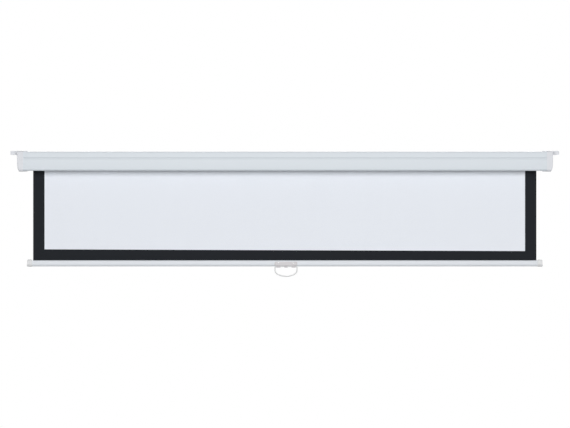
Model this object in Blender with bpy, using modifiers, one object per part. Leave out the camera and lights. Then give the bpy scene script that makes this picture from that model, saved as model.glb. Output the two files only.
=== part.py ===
# Pull down projector screen with a spring roller, drawn part way out of its case.
# Metres. X runs along the case, the wall is the plane y = 0, the front faces -Y, and Z is up.
# The origin is on the case's flat back, half way along it and half way up it.
import math

import bmesh
import bpy
from mathutils import Matrix, Vector

# Clearances
GAP = 0.0003            # between two pieces that seat on each other
END_GAP = 0.0005        # between the case's cut end and its cap
WALL_STAND_OFF = 0.001  # how far a cutter runs past the surface that it opens
STEP = 0.00015          # a moulded step between two faces that would else be level

# Picture and fabric
PICTURE_WIDTH = 1.771       # the white part: 80 inches across the corners at 16 to 9
SIDE_BORDER = 0.041
FABRIC_THICKNESS = 0.00042
DROP = 0.3295               # from the case's underside to the slat's top, as left here
FABRIC_HALF = PICTURE_WIDTH / 2 + SIDE_BORDER

# Roller
TUBE_RADIUS = 0.016
TUBE_WALL = 0.001
TUBE_OVERHANG = 0.0235      # tube beyond the fabric's edge, at each end
ROLL_TURNS = 7
ROLL_AIR = 0.00045          # between one turn of the wound fabric and the next
ROLLER_FORWARD = 0.003      # roller's axis in front of the middle of the case's depth
TUBE_HALF = FABRIC_HALF + TUBE_OVERHANG
TUBE_BORE = TUBE_RADIUS - TUBE_WALL
ROLL_PITCH = FABRIC_THICKNESS + ROLL_AIR
ROLL_INNER = TUBE_RADIUS + GAP
ROLL_OUTER = ROLL_INNER + ROLL_TURNS * ROLL_PITCH + FABRIC_THICKNESS

# Case
CASE_HEIGHT = 0.070
CASE_DEPTH = 0.070
CASE_WALL = 0.0012
CASE_END_ROOM = 0.029       # case beyond the roller tube, at each end
CASE_BACK_RADIUS = 0.0015
TOP_DEPTH = 0.0645          # flat top, from the wall to the front's upper band
TOP_RADIUS = 0.003
BAND_HEIGHT = 0.0195        # from the top to the groove's upper edge
FACE_LEAN = 0.0025          # how far the face's top edge stands behind its bottom edge
NOSE_RADIUS = 0.006
GROOVE_DEPTH = 0.0014
GROOVE_DROP = 0.0047        # the groove's bottom below its upper edge
GROOVE_HEIGHT = 0.0100
SLOT_WIDTH = 0.016
HEM_HEIGHT = 0.005
HEM_RADIUS = 0.0015
CASE_HALF = TUBE_HALF + CASE_END_ROOM
CASE_TOP = CASE_HEIGHT / 2
CASE_BOTTOM = -CASE_HEIGHT / 2
ROLLER_Y = -(CASE_DEPTH / 2 + ROLLER_FORWARD)
FABRIC_Y = ROLLER_Y + ROLL_OUTER + GAP + FABRIC_THICKNESS / 2
SLOT_FRONT = FABRIC_Y - SLOT_WIDTH / 2

# End caps
CAP_WALL = 0.0027
CAP_SLEEVE = 0.0155         # how far the cap's front goes over the case
CAP_END_TOP = 0.0070        # thickness of the end wall at its top
CAP_DRAFT = 0.0015          # how much thinner the end wall is at its bottom
CAP_ROUND = 0.0025
CAP_CURVE_ALONG = 0.009     # the long curve from the end wall to the underside: along the case
CAP_CURVE_RISE = 0.028      # and up the end wall
TONGUE_LENGTH = 0.016       # the top tongue beyond the sleeve
TONGUE_WIDTH = 0.028
TONGUE_FROM_WALL = 0.010
TONGUE_RADIUS = 0.008
LOW_TONGUE_FROM_SLOT = 0.005  # the bottom tongue's rear edge in front of the fabric's slot
CAP_OUTSET = GAP + CAP_WALL
CAP_INNER_END = CASE_HALF + END_GAP
CAP_OUTER_END = CAP_INNER_END + CAP_END_TOP
CAP_TOP = CASE_TOP + CAP_OUTSET

# Ears on the end caps
EAR_REACH = 0.0235
EAR_HEIGHT = 0.0145
EAR_DEPTH = 0.036
EAR_TOP_WALL = 0.0036
EAR_REAR_WALL = 0.004
EAR_SKIRT = 0.003
EAR_TIP_RADIUS = 0.003
EAR_FOOT_RADIUS = 0.0035
EAR_HOLE_RADIUS = 0.0032
EAR_HOLE_FROM_WALL = 0.019
KEYHOLE_RADIUS = 0.0034
KEYHOLE_SLOT = 0.0036
KEYHOLE_RISE = 0.0048
KEYHOLE_DROP = 0.0104       # keyhole's centre below the ear's top

# Roller brackets
BRACKET_PLATE = 0.0022
BRACKET_REAR = 0.006        # plate's rear edge in front of the wall
BRACKET_FRONT = 0.0065      # plate's front edge behind the front of the case's top
BRACKET_DROP = 0.026        # plate's lower edge below the roller's axis
BRACKET_CORNER = 0.006
BRACKET_FLANGE = 0.002
HUB_RADIUS = 0.0085
HUB_LENGTH = 0.010

# Screws
TOP_SCREW_RADIUS = 0.0018
TOP_SCREW_HEAD = 0.0036
TOP_SCREW_LENGTH = 0.0085
END_SCREW_RADIUS = 0.0015
END_SCREW_HEAD = 0.0032
END_SCREW_HEAD_HEIGHT = 0.0018
END_SCREW_PAST = 0.0018     # tip beyond the bracket's plate
END_SCREW_SEAT = 0.0035     # cap wall left under the head
END_SCREW_INSET = 0.007     # end screws' axes inside the bracket plate's front and rear edges
END_SCREW_SPOTS = {
    "upper": (-(TOP_DEPTH - BRACKET_FRONT - END_SCREW_INSET), 0.014),
    "lower": (-(BRACKET_REAR + END_SCREW_INSET), -0.017),
}

# Idle end of the roller
PIN_RADIUS = 0.003
BUSH_WALL = 0.0018
BUSH_FLANGE_RADIUS = 0.0068
BUSH_FLANGE = 0.0012
PLUG_LENGTH = 0.045
PLUG_FLANGE = 0.003
PLUG_FLANGE_RADIUS = 0.0175
PLUG_WALL = 0.0025
PIN_IN_PLUG = 0.030

# Spring end of the roller
ARBOR_RADIUS = 0.0045
SPEAR_WIDTH = 0.007
SPEAR_THICKNESS = 0.003
HEAD_PLUG_LENGTH = 0.035
HEAD_RADIUS = 0.022
CUP_RADIUS = 0.0195
CUP_FLOOR = 0.0032
CUP_DEPTH = 0.008
WHEEL_THICKNESS = 0.005
WHEEL_RADIUS = 0.0085
WHEEL_ROOT = 0.006
WHEEL_NOTCHES = 4
WHEEL_FLOOR_GAP = 0.001
PAWL_THICKNESS = 0.004
PAWL_PIVOT_RADIUS = 0.0126
PAWL_EYE = 0.0033
PAWL_INNER = 0.0093
PAWL_OUTER = 0.0130
PAWL_TIP = 0.0066
PAWL_REACH = math.radians(75)
PAWL_TOOTH = math.radians(8)
PAWL_SWING = math.radians(12)
PAWL_PIN_RADIUS = 0.0015
PAWL_PIN_HEAD = 0.0026
PAWL_PIN_HEAD_HEIGHT = 0.0009
PAWL_PIN_DEPTH = 0.0024     # how deep the pin goes into the cup's floor

# Spring
SPRING_WIRE = 0.0009        # the wire's radius
SPRING_RADIUS = 0.0095
SPRING_TURNS = 36
SPRING_PITCH = 0.0075
SPRING_STEPS = 8            # points of the drawn helix, in each turn
SPRING_HUB = SPRING_RADIUS * math.cos(math.pi / SPRING_STEPS) - SPRING_WIRE - GAP
SPRING_HUB_TURNS = 1.5      # turns that sit on a hub, at each end
COLLAR_SHOULDER = 0.004
COLLAR_SHOULDER_RADIUS = 0.0125
ANCHOR_PLUG = 0.022
ARBOR_PAST_ANCHOR = 0.004
COLLAR_FROM_PLUG = 0.012

# Slat
SLAT_DEPTH = 0.020
SLAT_HEIGHT = 0.0224
SLAT_WALL = 0.0012
SLAT_MOUTH = 0.0032
SLAT_TOP_RADIUS = 0.005
SLAT_BOTTOM_RADIUS = 0.008
SLAT_GROOVE = 0.0006
SLAT_GROOVE_DROP = 0.0062
SLAT_OVERHANG = 0.019       # slat beyond the fabric's edge, at each end
SPLINE_RADIUS = 0.0027
SPLINE_SHORT = 0.003        # how much shorter the spline is than the fabric, at each end
HEM_LOOP_GAP = 0.0006       # between the hem's free end and the sheet
SLAT_HALF = FABRIC_HALF + SLAT_OVERHANG
SLAT_TOP = CASE_BOTTOM - DROP
SLAT_BOTTOM = SLAT_TOP - SLAT_HEIGHT
SLAT_FRONT = FABRIC_Y - SLAT_DEPTH / 2

# Slat end caps
KNOB_WALL = 0.0031
KNOB_SIDE = 0.0018
KNOB_SLEEVE = 0.0155
KNOB_RISE = 0.0033          # knob above the slat's top
KNOB_FALL = 0.0012          # knob below the slat's bottom
KNOB_ROUND = 0.0022
KNOB_LIP = 0.0012           # how far the lower lobe stands out past the upper one
KNOB_WAIST_DROP = 0.0155    # waist below the knob's top
KNOB_INNER_RADIUS = 0.0035
KNOB_LOW_RADIUS = 0.0050
KNOB_WAIST_RADIUS = 0.0030
KNOB_HIGH_RADIUS = 0.0062

# Clip and pull ring
HANDLE_X = 0.004            # the clip's middle, beside the case's
CLIP_HALF = 0.042
CLIP_THICKNESS = 0.0015
CLIP_TOP_DROP = 0.005       # clip's top edge below the slat's top
CLIP_CORNER = 0.004
CLIP_FILLET = 0.001
CLIP_SCALLOP = 0.0030
KNUCKLE_STEP = 0.0004       # how far the plate stops short of a knuckle's ends
RING_WIRE = 0.0022          # the wire's radius
RING_HALF = 0.0405
RING_LEG = 0.0145
RING_SWELL = 0.0215
RING_CORNER = 0.004
KNUCKLE_WALL = 0.0014
KNUCKLES = ((-0.0360, -0.0205), (-0.006, 0.006), (0.0205, 0.0360))
RIVET_RADIUS = 0.0016
RIVET_HEAD = 0.0030
RIVET_DOME = 0.0012
RIVET_FROM_MIDDLE = 0.027
RIVET_DROP = 0.0105         # rivets below the slat's top
RIVET_PAST = 0.0025
KNUCKLE_RADIUS = RING_WIRE + GAP + KNUCKLE_WALL
CLIP_Y = SLAT_FRONT - GAP - CLIP_THICKNESS / 2
RING_Y = SLAT_FRONT - GAP - CLIP_THICKNESS
RING_Z = SLAT_BOTTOM - 0.0002

# Frames: the local axes x, y, z of a drawn outline or turned profile, in world terms
ALONG_X = Matrix(((0, 0, 1), (1, 0, 0), (0, 1, 0)))     # local x is Y, y is Z, z is X
ALONG_MINUS_X = Matrix(((0, 0, -1), (-1, 0, 0), (0, 1, 0)))
FACING_FRONT = Matrix(((1, 0, 0), (0, 0, -1), (0, 1, 0)))  # local x is X, y is Z, z is -Y
UPRIGHT = Matrix.Identity(3)

COLOURS = {
    "case": ((0.69, 0.72, 0.76), 0.38, 0.0),
    "cap": ((0.73, 0.73, 0.73), 0.45, 0.0),
    "fabric": ((0.80, 0.83, 0.88), 0.85, 0.0),
    "slat": ((0.70, 0.73, 0.76), 0.35, 0.0),
    "clip": ((0.66, 0.65, 0.66), 0.40, 0.0),
    "ring": ((0.70, 0.70, 0.70), 0.35, 0.0),
    "steel": ((0.55, 0.56, 0.58), 0.30, 1.0),
    "spring": ((0.30, 0.31, 0.33), 0.35, 1.0),
    "nylon": ((0.78, 0.77, 0.72), 0.50, 0.0),
    "brass": ((0.75, 0.60, 0.30), 0.35, 1.0),
}


def clear_scene():
    for thing in list(bpy.data.objects):
        bpy.data.objects.remove(thing, do_unlink=True)


def new_group(name):
    group = bpy.data.collections.new(name)
    bpy.context.scene.collection.children.link(group)
    return group


def new_material(name):
    colour, roughness, metallic = COLOURS[name]
    made = bpy.data.materials.new(name)
    made.use_nodes = True
    shader = made.node_tree.nodes["Principled BSDF"]
    shader.inputs["Base Color"].default_value = (*colour, 1.0)
    shader.inputs["Roughness"].default_value = roughness
    shader.inputs["Metallic"].default_value = metallic
    return made


def place(thing, spot, frame=UPRIGHT):
    thing.matrix_world = Matrix.Translation(spot) @ frame.to_4x4()
    return thing


def add_object(name, data, spot=(0, 0, 0), frame=UPRIGHT):
    """A new part, in the part's collection until something uses it as a tool."""
    made = bpy.data.objects.new(name, data)
    PARTS.objects.link(made)
    return place(made, spot, frame)


def paint(thing, slot):
    thing.data.materials.clear()
    thing.data.materials.append(MATERIALS[slot])
    if thing.type == "MESH":
        thing.data.shade_smooth()
        thing.data.set_sharp_from_angle(angle=math.radians(30))
    return thing


def solid_from(name, shape):
    """The bmesh as a mesh object's data, with its faces pointing out."""
    bmesh.ops.recalc_face_normals(shape, faces=shape.faces)
    mesh = bpy.data.meshes.new(name)
    shape.to_mesh(mesh)
    shape.free()
    return mesh


def from_curve(drawn):
    """A drawn curve as a mesh object with welded caps. The curve is removed."""
    bpy.context.view_layer.update()
    shape = bmesh.new()
    shape.from_mesh(bpy.data.meshes.new_from_object(
        drawn.evaluated_get(bpy.context.evaluated_depsgraph_get())))
    bmesh.ops.remove_doubles(shape, verts=shape.verts, dist=1e-6)
    name, matrix = drawn.name, drawn.matrix_world.copy()
    bpy.data.objects.remove(drawn)
    made = add_object(name, solid_from(name, shape))
    made.matrix_world = matrix
    return made


def lofted(name, sections, spot, frame):
    """A solid through (height, loop) sections that have as many points each."""
    shape = bmesh.new()
    rings = [[shape.verts.new((across, up, height)) for across, up in loop]
             for height, loop in sections]
    shape.faces.new(rings[0])
    shape.faces.new(rings[-1])
    for low, high in zip(rings, rings[1:]):
        for i in range(len(low)):
            shape.faces.new((low[i - 1], low[i], high[i], high[i - 1]))
    return add_object(name, solid_from(name, shape), spot, frame)


def slab(name, loop, thickness, spot, frame):
    """A flat outline in one face, thickened about its plane."""
    mesh = bpy.data.meshes.new(name)
    mesh.from_pydata([(across, up, 0) for across, up in loop], [], [range(len(loop))])
    made = add_object(name, mesh, spot, frame)
    thick = made.modifiers.new("thickness", "SOLIDIFY")
    thick.thickness = thickness
    thick.offset = 0
    return made


def rounding(radius, steps=4):
    """(how far an outline has drawn in, how far along it is) round a quarter circle."""
    return [(radius * (1 - math.cos(a)), radius * math.sin(a))
            for a in (math.pi / 2 * i / steps for i in range(steps + 1))]


def wire(name, points, radius, closed=False, resolution=2):
    curve = bpy.data.curves.new(name, "CURVE")
    curve.dimensions = "3D"
    curve.bevel_depth = radius
    curve.bevel_resolution = resolution
    curve.use_fill_caps = not closed
    spline = curve.splines.new("POLY")
    spline.points.add(len(points) - 1)
    for point, where in zip(spline.points, points):
        point.co = (*where, 1)
    spline.use_cyclic_u = closed
    return curve


def folded_sheet(name, path, half_length, wall, spot, side=1):
    """An open path in Y and Z drawn out along X, thickened to one side of it or about it."""
    shape = bmesh.new()
    points = [shape.verts.new((-half_length, y, z)) for y, z in path]
    edges = [shape.edges.new(pair) for pair in zip(points, points[1:])]
    drawn = bmesh.ops.extrude_edge_only(shape, edges=edges)["geom"]
    far = [part for part in drawn if isinstance(part, bmesh.types.BMVert)]
    bmesh.ops.translate(shape, vec=(2 * half_length, 0, 0), verts=far)
    mesh = bpy.data.meshes.new(name)
    shape.to_mesh(mesh)
    shape.free()
    made = add_object(name, mesh, spot)
    thick = made.modifiers.new("wall", "SOLIDIFY")
    thick.thickness = wall
    thick.offset = side
    thick.use_even_offset = True
    return made


def turned(name, profile, spot, frame, steps=24):
    """A profile of (radius, height) pairs, outer side first from its top down, turned about z."""
    mesh = bpy.data.meshes.new(name)
    ring = [(i, (i + 1) % len(profile)) for i in range(len(profile))]
    if profile[0][0] == 0 and profile[-1][0] == 0:
        ring = ring[:-1]
    mesh.from_pydata([(r, 0, h) for r, h in profile], ring, [])
    made = add_object(name, mesh, spot, frame)
    spin = made.modifiers.new("turn", "SCREW")
    spin.axis = "Z"
    spin.steps = steps
    spin.render_steps = steps
    spin.use_merge_vertices = True
    spin.merge_threshold = 0.00001
    return made


def cylinder(name, radius, start, end, spot, frame, steps=24):
    """A plain round bar from start to end along the frame's z."""
    shape = bmesh.new()
    bmesh.ops.create_cone(shape, cap_ends=True, segments=steps, radius1=radius, radius2=radius,
                          depth=end - start, matrix=Matrix.Translation((0, 0, (start + end) / 2)))
    return add_object(name, solid_from(name, shape), spot, frame)


def block(name, low, high):
    """A box between two corners."""
    low, high = Vector(low), Vector(high)
    shape = bmesh.new()
    bmesh.ops.create_cube(shape, size=1, matrix=Matrix.Diagonal((high - low).to_4d()))
    return add_object(name, solid_from(name, shape), (low + high) / 2)


def use_tool(target, tool, operation):
    PARTS.objects.unlink(tool)
    CUTTERS.objects.link(tool)
    tool.hide_render = True
    tool.display_type = "WIRE"
    step = target.modifiers.new(tool.name, "BOOLEAN")
    step.operation = operation
    step.object = tool
    return target


def cut(target, tool):
    return use_tool(target, tool, "DIFFERENCE")


def join(target, tool):
    return use_tool(target, tool, "UNION")


def hang_on(empty, *things):
    """Parents things to an empty without moving them."""
    bpy.context.view_layer.update()
    for thing in things:
        thing.parent = empty
        thing.matrix_parent_inverse = empty.matrix_world.inverted()


def pivot(name, spot):
    return add_object(name, None, spot)


def rounded(corners, steps=4, closed=False):
    """A path through (y, z, radius) corners, each rounded by an arc of its radius."""
    path = []
    for i, (y, z, radius) in enumerate(corners):
        here = Vector((y, z))
        last = not closed and i in (0, len(corners) - 1)
        if radius == 0 or last:
            path.append((y, z))
            continue
        back = (Vector(corners[i - 1][:2]) - here).normalized()
        on = (Vector(corners[(i + 1) % len(corners)][:2]) - here).normalized()
        half = back.angle(on) / 2
        middle = here + (back + on).normalized() * radius / math.sin(half)
        start = here + back * radius / math.tan(half) - middle
        turn = (here + on * radius / math.tan(half) - middle).angle_signed(start)
        for k in range(steps + 1):
            step = Matrix.Rotation(turn * k / steps, 2) @ start
            path.append(tuple(middle + step))
    return path


def outset(corners, distance, closed=False):
    """(y, z, radius) corners moved to their right by a distance, with radii to match."""
    count = len(corners)
    sides = []
    for i in range(count if closed else count - 1):
        here, there = Vector(corners[i][:2]), Vector(corners[(i + 1) % count][:2])
        along = (there - here).normalized()
        sides.append((here + distance * Vector((along.y, -along.x)), along))
    moved = []
    for i, (y, z, radius) in enumerate(corners):
        if not closed and i in (0, count - 1):
            along = sides[min(i, count - 2)][1]
            moved.append((y + distance * along.y, z - distance * along.x, 0))
            continue
        (start, along), (other, other_along) = sides[i - 1], sides[i % len(sides)]
        bend = along.cross(other_along)
        spot = start + along * ((other - start).cross(other_along) / bend)
        grown = radius + (distance if bend > 0 else -distance)
        moved.append((*spot, grown if radius else 0))
    return moved


def front_corners():
    """The case's skin without its groove, from the wall over the top and down to the wall."""
    return [(0, CASE_TOP, 0),
            (-TOP_DEPTH, CASE_TOP, TOP_RADIUS),
            (-(CASE_DEPTH - FACE_LEAN), CASE_TOP - BAND_HEIGHT, 0),
            (-CASE_DEPTH, CASE_BOTTOM, NOSE_RADIUS),
            (0, CASE_BOTTOM, 0)]


def groove_corners():
    """The shallow V between the front's upper band and the main face."""
    lip, nose = (Vector(corner[:2]) for corner in front_corners()[2:4])
    down = (nose - lip).normalized()
    inward = Vector((-down.y, down.x))
    deep = lip + down * GROOVE_DROP + inward * GROOVE_DEPTH
    return [(*point, 0) for point in (lip, deep, lip + down * GROOVE_HEIGHT)]


def make_case_shell():
    slot_rear = SLOT_FRONT + SLOT_WIDTH
    path = rounded([
        (slot_rear, CASE_BOTTOM + HEM_HEIGHT, 0),
        (slot_rear, CASE_BOTTOM, HEM_RADIUS),
        (0, CASE_BOTTOM, CASE_BACK_RADIUS),
        (0, CASE_TOP, CASE_BACK_RADIUS),
        (-TOP_DEPTH, CASE_TOP, TOP_RADIUS),
        *groove_corners(),
        (-CASE_DEPTH, CASE_BOTTOM, NOSE_RADIUS),
        (SLOT_FRONT, CASE_BOTTOM, HEM_RADIUS),
        (SLOT_FRONT, CASE_BOTTOM + HEM_HEIGHT, 0)])
    case = folded_sheet("case_shell", path, CASE_HALF, CASE_WALL, (0, 0, 0), 1)
    for side, name in SIDES:
        cut(case, cylinder("case_hole_" + name, TOP_SCREW_RADIUS + GAP, 0, 0.01,
                           top_screw_spot(side) - Vector((0, 0, 0.005)), UPRIGHT))
    return paint(case, "case")


def top_screw_spot(side):
    """Where a top screw's axis meets the case's top."""
    return Vector((side * (CASE_HALF - CAP_SLEEVE - TONGUE_LENGTH / 2),
                   -(TONGUE_FROM_WALL + TONGUE_WIDTH / 2), CASE_TOP))


def cap_outline(past, rise):
    """The case's skin set out, drawn in by the small round past its start, its foot risen."""
    drawn_in = CAP_ROUND - math.sqrt(CAP_ROUND ** 2 - max(past, 0) ** 2)
    corners = outset(front_corners(), CAP_OUTSET - drawn_in)
    lip, nose, foot = corners[2:]
    up = rise - drawn_in
    share = 1 - up / (lip[1] - nose[1])
    corners[3] = (lip[0] + share * (nose[0] - lip[0]), nose[1] + up, nose[2])
    corners[4] = (foot[0], foot[1] + up, 0)
    return rounded(corners)


def cap_body(side, name):
    """The cap's outer form: a drafted end wall that a long curve joins to the underside."""
    sections = [(CASE_HALF - CAP_SLEEVE, cap_outline(0, 0))]
    for i in range(7):
        turn = math.pi / 2 * i / 6
        along = CAP_CURVE_ALONG * math.sin(turn)
        sections.append((CAP_OUTER_END - CAP_CURVE_ALONG + along,
                         cap_outline(along - CAP_CURVE_ALONG + CAP_ROUND,
                                     CAP_CURVE_RISE * (1 - math.cos(turn)))))
    cap = lofted("end_cap_" + name, sections, (0, 0, 0), ALONG_X)
    for v in cap.data.vertices:
        if v.co.z > CAP_INNER_END:
            v.co.z -= CAP_DRAFT * (CAP_TOP - v.co.y) / (2 * CAP_TOP)
    if side < 0:
        cap.data.transform(Matrix.Diagonal((1, 1, -1, 1)))
        cap.data.flip_normals()
    return cap


def ear_block(side, name):
    """The ear seen from the front, its top a step proud and its back a step behind the wall's plane."""
    root = CAP_INNER_END + CAP_END_TOP / 3
    tip = CAP_OUTER_END + EAR_REACH
    top, low = CAP_TOP + STEP, CAP_TOP - EAR_HEIGHT
    foot = CAP_OUTER_END - CAP_DRAFT / 3
    corners = [(root, top, 0), (tip, top, EAR_TIP_RADIUS), (tip, low, EAR_FOOT_RADIUS),
               (foot, low, EAR_FOOT_RADIUS), (foot, low - EAR_HEIGHT / 2, 0),
               (root, low - EAR_HEIGHT / 2, 0)]
    loop = [(side * x, z) for x, z in rounded(corners, closed=True)]
    return slab("ear_" + name, loop, EAR_DEPTH - STEP, (0, -(EAR_DEPTH + STEP) / 2, 0),
                FACING_FRONT)


def tongue_block(side, name, rear, face):
    """A tongue with a rounded end, on the case's top (face 1) or under it (face -1)."""
    front = rear - TONGUE_WIDTH
    root = CASE_HALF - CAP_SLEEVE / 2
    tip = CASE_HALF - CAP_SLEEVE - TONGUE_LENGTH
    corners = [(root, rear, 0), (tip, rear, TONGUE_RADIUS), (tip, front, TONGUE_RADIUS),
               (root, front, 0)]
    loop = [(side * x, y) for x, y in rounded(corners, closed=True)]
    return slab("tongue_" + name, loop, 2 * CAP_WALL,
                (0, 0, face * (CAP_TOP - STEP - CAP_WALL)), UPRIGHT)


def keyhole_loop(side):
    """A keyhole for a wall screw's head, seen from the front."""
    middle_x = side * (CAP_OUTER_END + EAR_REACH / 2)
    middle_z = CAP_TOP - KEYHOLE_DROP
    meet = math.asin(KEYHOLE_SLOT / 2 / KEYHOLE_RADIUS)
    steps = 14
    big = [math.pi / 2 + meet + (math.tau - 2 * meet) * i / steps for i in range(steps + 1)]
    small = [math.pi * i / 6 for i in range(7)]
    return ([(middle_x + KEYHOLE_RADIUS * math.cos(a), middle_z + KEYHOLE_RADIUS * math.sin(a))
             for a in big]
            + [(middle_x + KEYHOLE_SLOT / 2 * math.cos(a),
                middle_z + KEYHOLE_RISE + KEYHOLE_SLOT / 2 * math.sin(a)) for a in small])


def make_end_cap(side, name):
    cap = cap_body(side, name)
    join(cap, ear_block(side, name))
    join(cap, tongue_block(side, name + "_top", -TONGUE_FROM_WALL, 1))
    join(cap, tongue_block(side, name + "_low", SLOT_FRONT - LOW_TONGUE_FROM_SLOT, -1))
    hollow = rounded(outset(front_corners(), GAP))
    hollow[0] = (WALL_STAND_OFF, hollow[0][1])
    hollow[-1] = (WALL_STAND_OFF, hollow[-1][1])
    deep = CAP_SLEEVE + TONGUE_LENGTH + END_GAP + WALL_STAND_OFF
    cut(cap, slab("cap_hollow_" + name, hollow, deep,
                  (side * (CAP_INNER_END - deep / 2), 0, 0), ALONG_X))
    pocket_x = sorted((side * (CAP_OUTER_END + EAR_SKIRT),
                       side * (CAP_OUTER_END + EAR_REACH - EAR_SKIRT)))
    cut(cap, block("ear_pocket_" + name,
                   (pocket_x[0], -(EAR_DEPTH - EAR_SKIRT), CAP_TOP - 2 * EAR_HEIGHT),
                   (pocket_x[1], -EAR_REAR_WALL, CAP_TOP - EAR_TOP_WALL)))
    cut(cap, slab("keyhole_" + name, keyhole_loop(side), EAR_REAR_WALL + 2 * WALL_STAND_OFF,
                  (0, -EAR_REAR_WALL / 2, 0), FACING_FRONT))
    cut(cap, cylinder("ear_hole_" + name, EAR_HOLE_RADIUS, 0, 3 * EAR_TOP_WALL,
                      (side * (CAP_OUTER_END + EAR_REACH / 2), -EAR_HOLE_FROM_WALL,
                       CAP_TOP - 2 * EAR_TOP_WALL), UPRIGHT))
    cut(cap, turned("tongue_hole_" + name, top_screw_profile(GAP, WALL_STAND_OFF),
                    top_screw_spot(side), UPRIGHT))
    for where, (y, z) in END_SCREW_SPOTS.items():
        spot = (0, y, z)
        tag = name + "_" + where
        seat = CAP_INNER_END + END_SCREW_SEAT
        frame = ALONG_X if side > 0 else ALONG_MINUS_X
        cut(cap, cylinder("end_hole_" + tag, END_SCREW_RADIUS + GAP,
                          CAP_INNER_END - WALL_STAND_OFF, CAP_OUTER_END, spot, frame, 16))
        cut(cap, cylinder("end_seat_" + tag, END_SCREW_HEAD + 2 * GAP,
                          seat, CAP_OUTER_END + WALL_STAND_OFF, spot, frame, 16))
    return paint(cap, "cap")


def top_screw_profile(room, rise=0.0):
    """A countersunk screw with its tip down, from the case's top, with room around it."""
    head = CAP_OUTSET - GAP
    cone = TOP_SCREW_HEAD - TOP_SCREW_RADIUS
    shank = TOP_SCREW_RADIUS + room
    top = [(0, head + rise), (TOP_SCREW_HEAD + room, head + rise)]
    if rise:
        top.append((TOP_SCREW_HEAD + room, head))
    return top + [(shank, head - cone), (shank, -TOP_SCREW_LENGTH), (0, -TOP_SCREW_LENGTH)]


def make_top_screw(side, name):
    screw = turned("top_screw_" + name, top_screw_profile(0), top_screw_spot(side), UPRIGHT, 16)
    slot = block("top_screw_slot_" + name, (-TOP_SCREW_HEAD, -0.0004, 0.0014),
                 (TOP_SCREW_HEAD, 0.0004, 0.004))
    slot.location += top_screw_spot(side)
    return paint(cut(screw, slot), "steel")


def make_end_screw(side, name, where):
    y, z = END_SCREW_SPOTS[where]
    seat = CAP_INNER_END + END_SCREW_SEAT + GAP
    tip = CASE_HALF - GAP - BRACKET_PLATE - END_SCREW_PAST
    head = seat + END_SCREW_HEAD_HEIGHT
    dome = 0.3 * END_SCREW_HEAD
    screw = turned("end_screw_" + name + "_" + where,
                   [(0, head), (END_SCREW_HEAD - dome, head), (END_SCREW_HEAD, head - dome / 2),
                    (END_SCREW_HEAD, seat), (END_SCREW_RADIUS, seat), (END_SCREW_RADIUS, tip),
                    (0, tip)],
                   (0, y, z), ALONG_X if side > 0 else ALONG_MINUS_X, 16)
    return paint(screw, "steel")


def make_bracket(side, name):
    """A plate inside the case's end, a flange under the case's top and a hub for the roller."""
    frame = ALONG_X if side > 0 else ALONG_MINUS_X
    top = CASE_TOP - CASE_WALL - GAP
    rear, front = -BRACKET_REAR, -(TOP_DEPTH - BRACKET_FRONT)
    bottom = -BRACKET_DROP
    corners = [(rear, bottom, BRACKET_CORNER), (rear, top, 0), (front, top, BRACKET_CORNER),
               (front, bottom, BRACKET_CORNER)]
    plate_end = CASE_HALF - GAP
    bracket = slab("roller_bracket_" + name, rounded(corners, closed=True), BRACKET_PLATE,
                   (side * (plate_end - BRACKET_PLATE / 2), 0, 0), ALONG_X)
    for where, (y, z) in END_SCREW_SPOTS.items():
        cut(bracket, cylinder("plate_hole_" + name + "_" + where, END_SCREW_RADIUS + GAP,
                              plate_end - 2 * BRACKET_PLATE, plate_end + BRACKET_PLATE,
                              (0, y, z), frame, 16))
    flange_tip = CASE_HALF - CAP_SLEEVE - TONGUE_LENGTH
    ends = sorted((side * flange_tip, side * (plate_end - BRACKET_PLATE / 2)))
    flange = block("flange_" + name,
                   (ends[0], -(TONGUE_FROM_WALL + TONGUE_WIDTH), top - BRACKET_FLANGE),
                   (ends[1], -TONGUE_FROM_WALL, top))
    join(bracket, flange)
    spot = Vector((0, ROLLER_Y, 0))
    join(bracket, cylinder("hub_" + name, HUB_RADIUS, plate_end - BRACKET_PLATE - HUB_LENGTH,
                           plate_end - BRACKET_PLATE / 2, spot, frame))
    cut(bracket, cylinder("flange_hole_" + name, TOP_SCREW_RADIUS + GAP, -0.012, 0.002,
                          top_screw_spot(side), UPRIGHT))
    reach = (plate_end - BRACKET_PLATE - HUB_LENGTH - WALL_STAND_OFF, CASE_HALF + WALL_STAND_OFF)
    if side > 0:
        half = (SPEAR_THICKNESS / 2 + GAP, SPEAR_WIDTH / 2 + GAP)
        cut(bracket, block("spear_slot", (reach[0], ROLLER_Y - half[0], -half[1]),
                           (reach[1], ROLLER_Y + half[0], half[1])))
    else:
        cut(bracket, cylinder("bush_seat", PIN_RADIUS + BUSH_WALL + 2 * GAP, *reach, spot, frame))
    return paint(bracket, "steel")


def make_idle_bush():
    """The bush lines the left hub, with its flange on the roller's side."""
    outer = CASE_HALF - GAP
    face = outer - BRACKET_PLATE - HUB_LENGTH - GAP
    bore, wall = PIN_RADIUS + GAP, PIN_RADIUS + GAP + BUSH_WALL
    bush = turned("idle_bush",
                  [(wall, outer), (wall, face), (BUSH_FLANGE_RADIUS, face),
                   (BUSH_FLANGE_RADIUS, face - BUSH_FLANGE), (bore, face - BUSH_FLANGE),
                   (bore, outer)],
                  (0, ROLLER_Y, 0), ALONG_MINUS_X)
    return paint(bush, "brass")


def make_idle_pin():
    inner = TUBE_HALF - PIN_IN_PLUG
    outer = CASE_HALF - GAP - BRACKET_PLATE / 2
    chamfer = PIN_RADIUS / 5
    pin = turned("idle_pin",
                 [(0, outer), (PIN_RADIUS - chamfer, outer), (PIN_RADIUS, outer - chamfer),
                  (PIN_RADIUS, inner), (0, inner)],
                 (0, ROLLER_Y, 0), ALONG_MINUS_X)
    return paint(pin, "steel")


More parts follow.
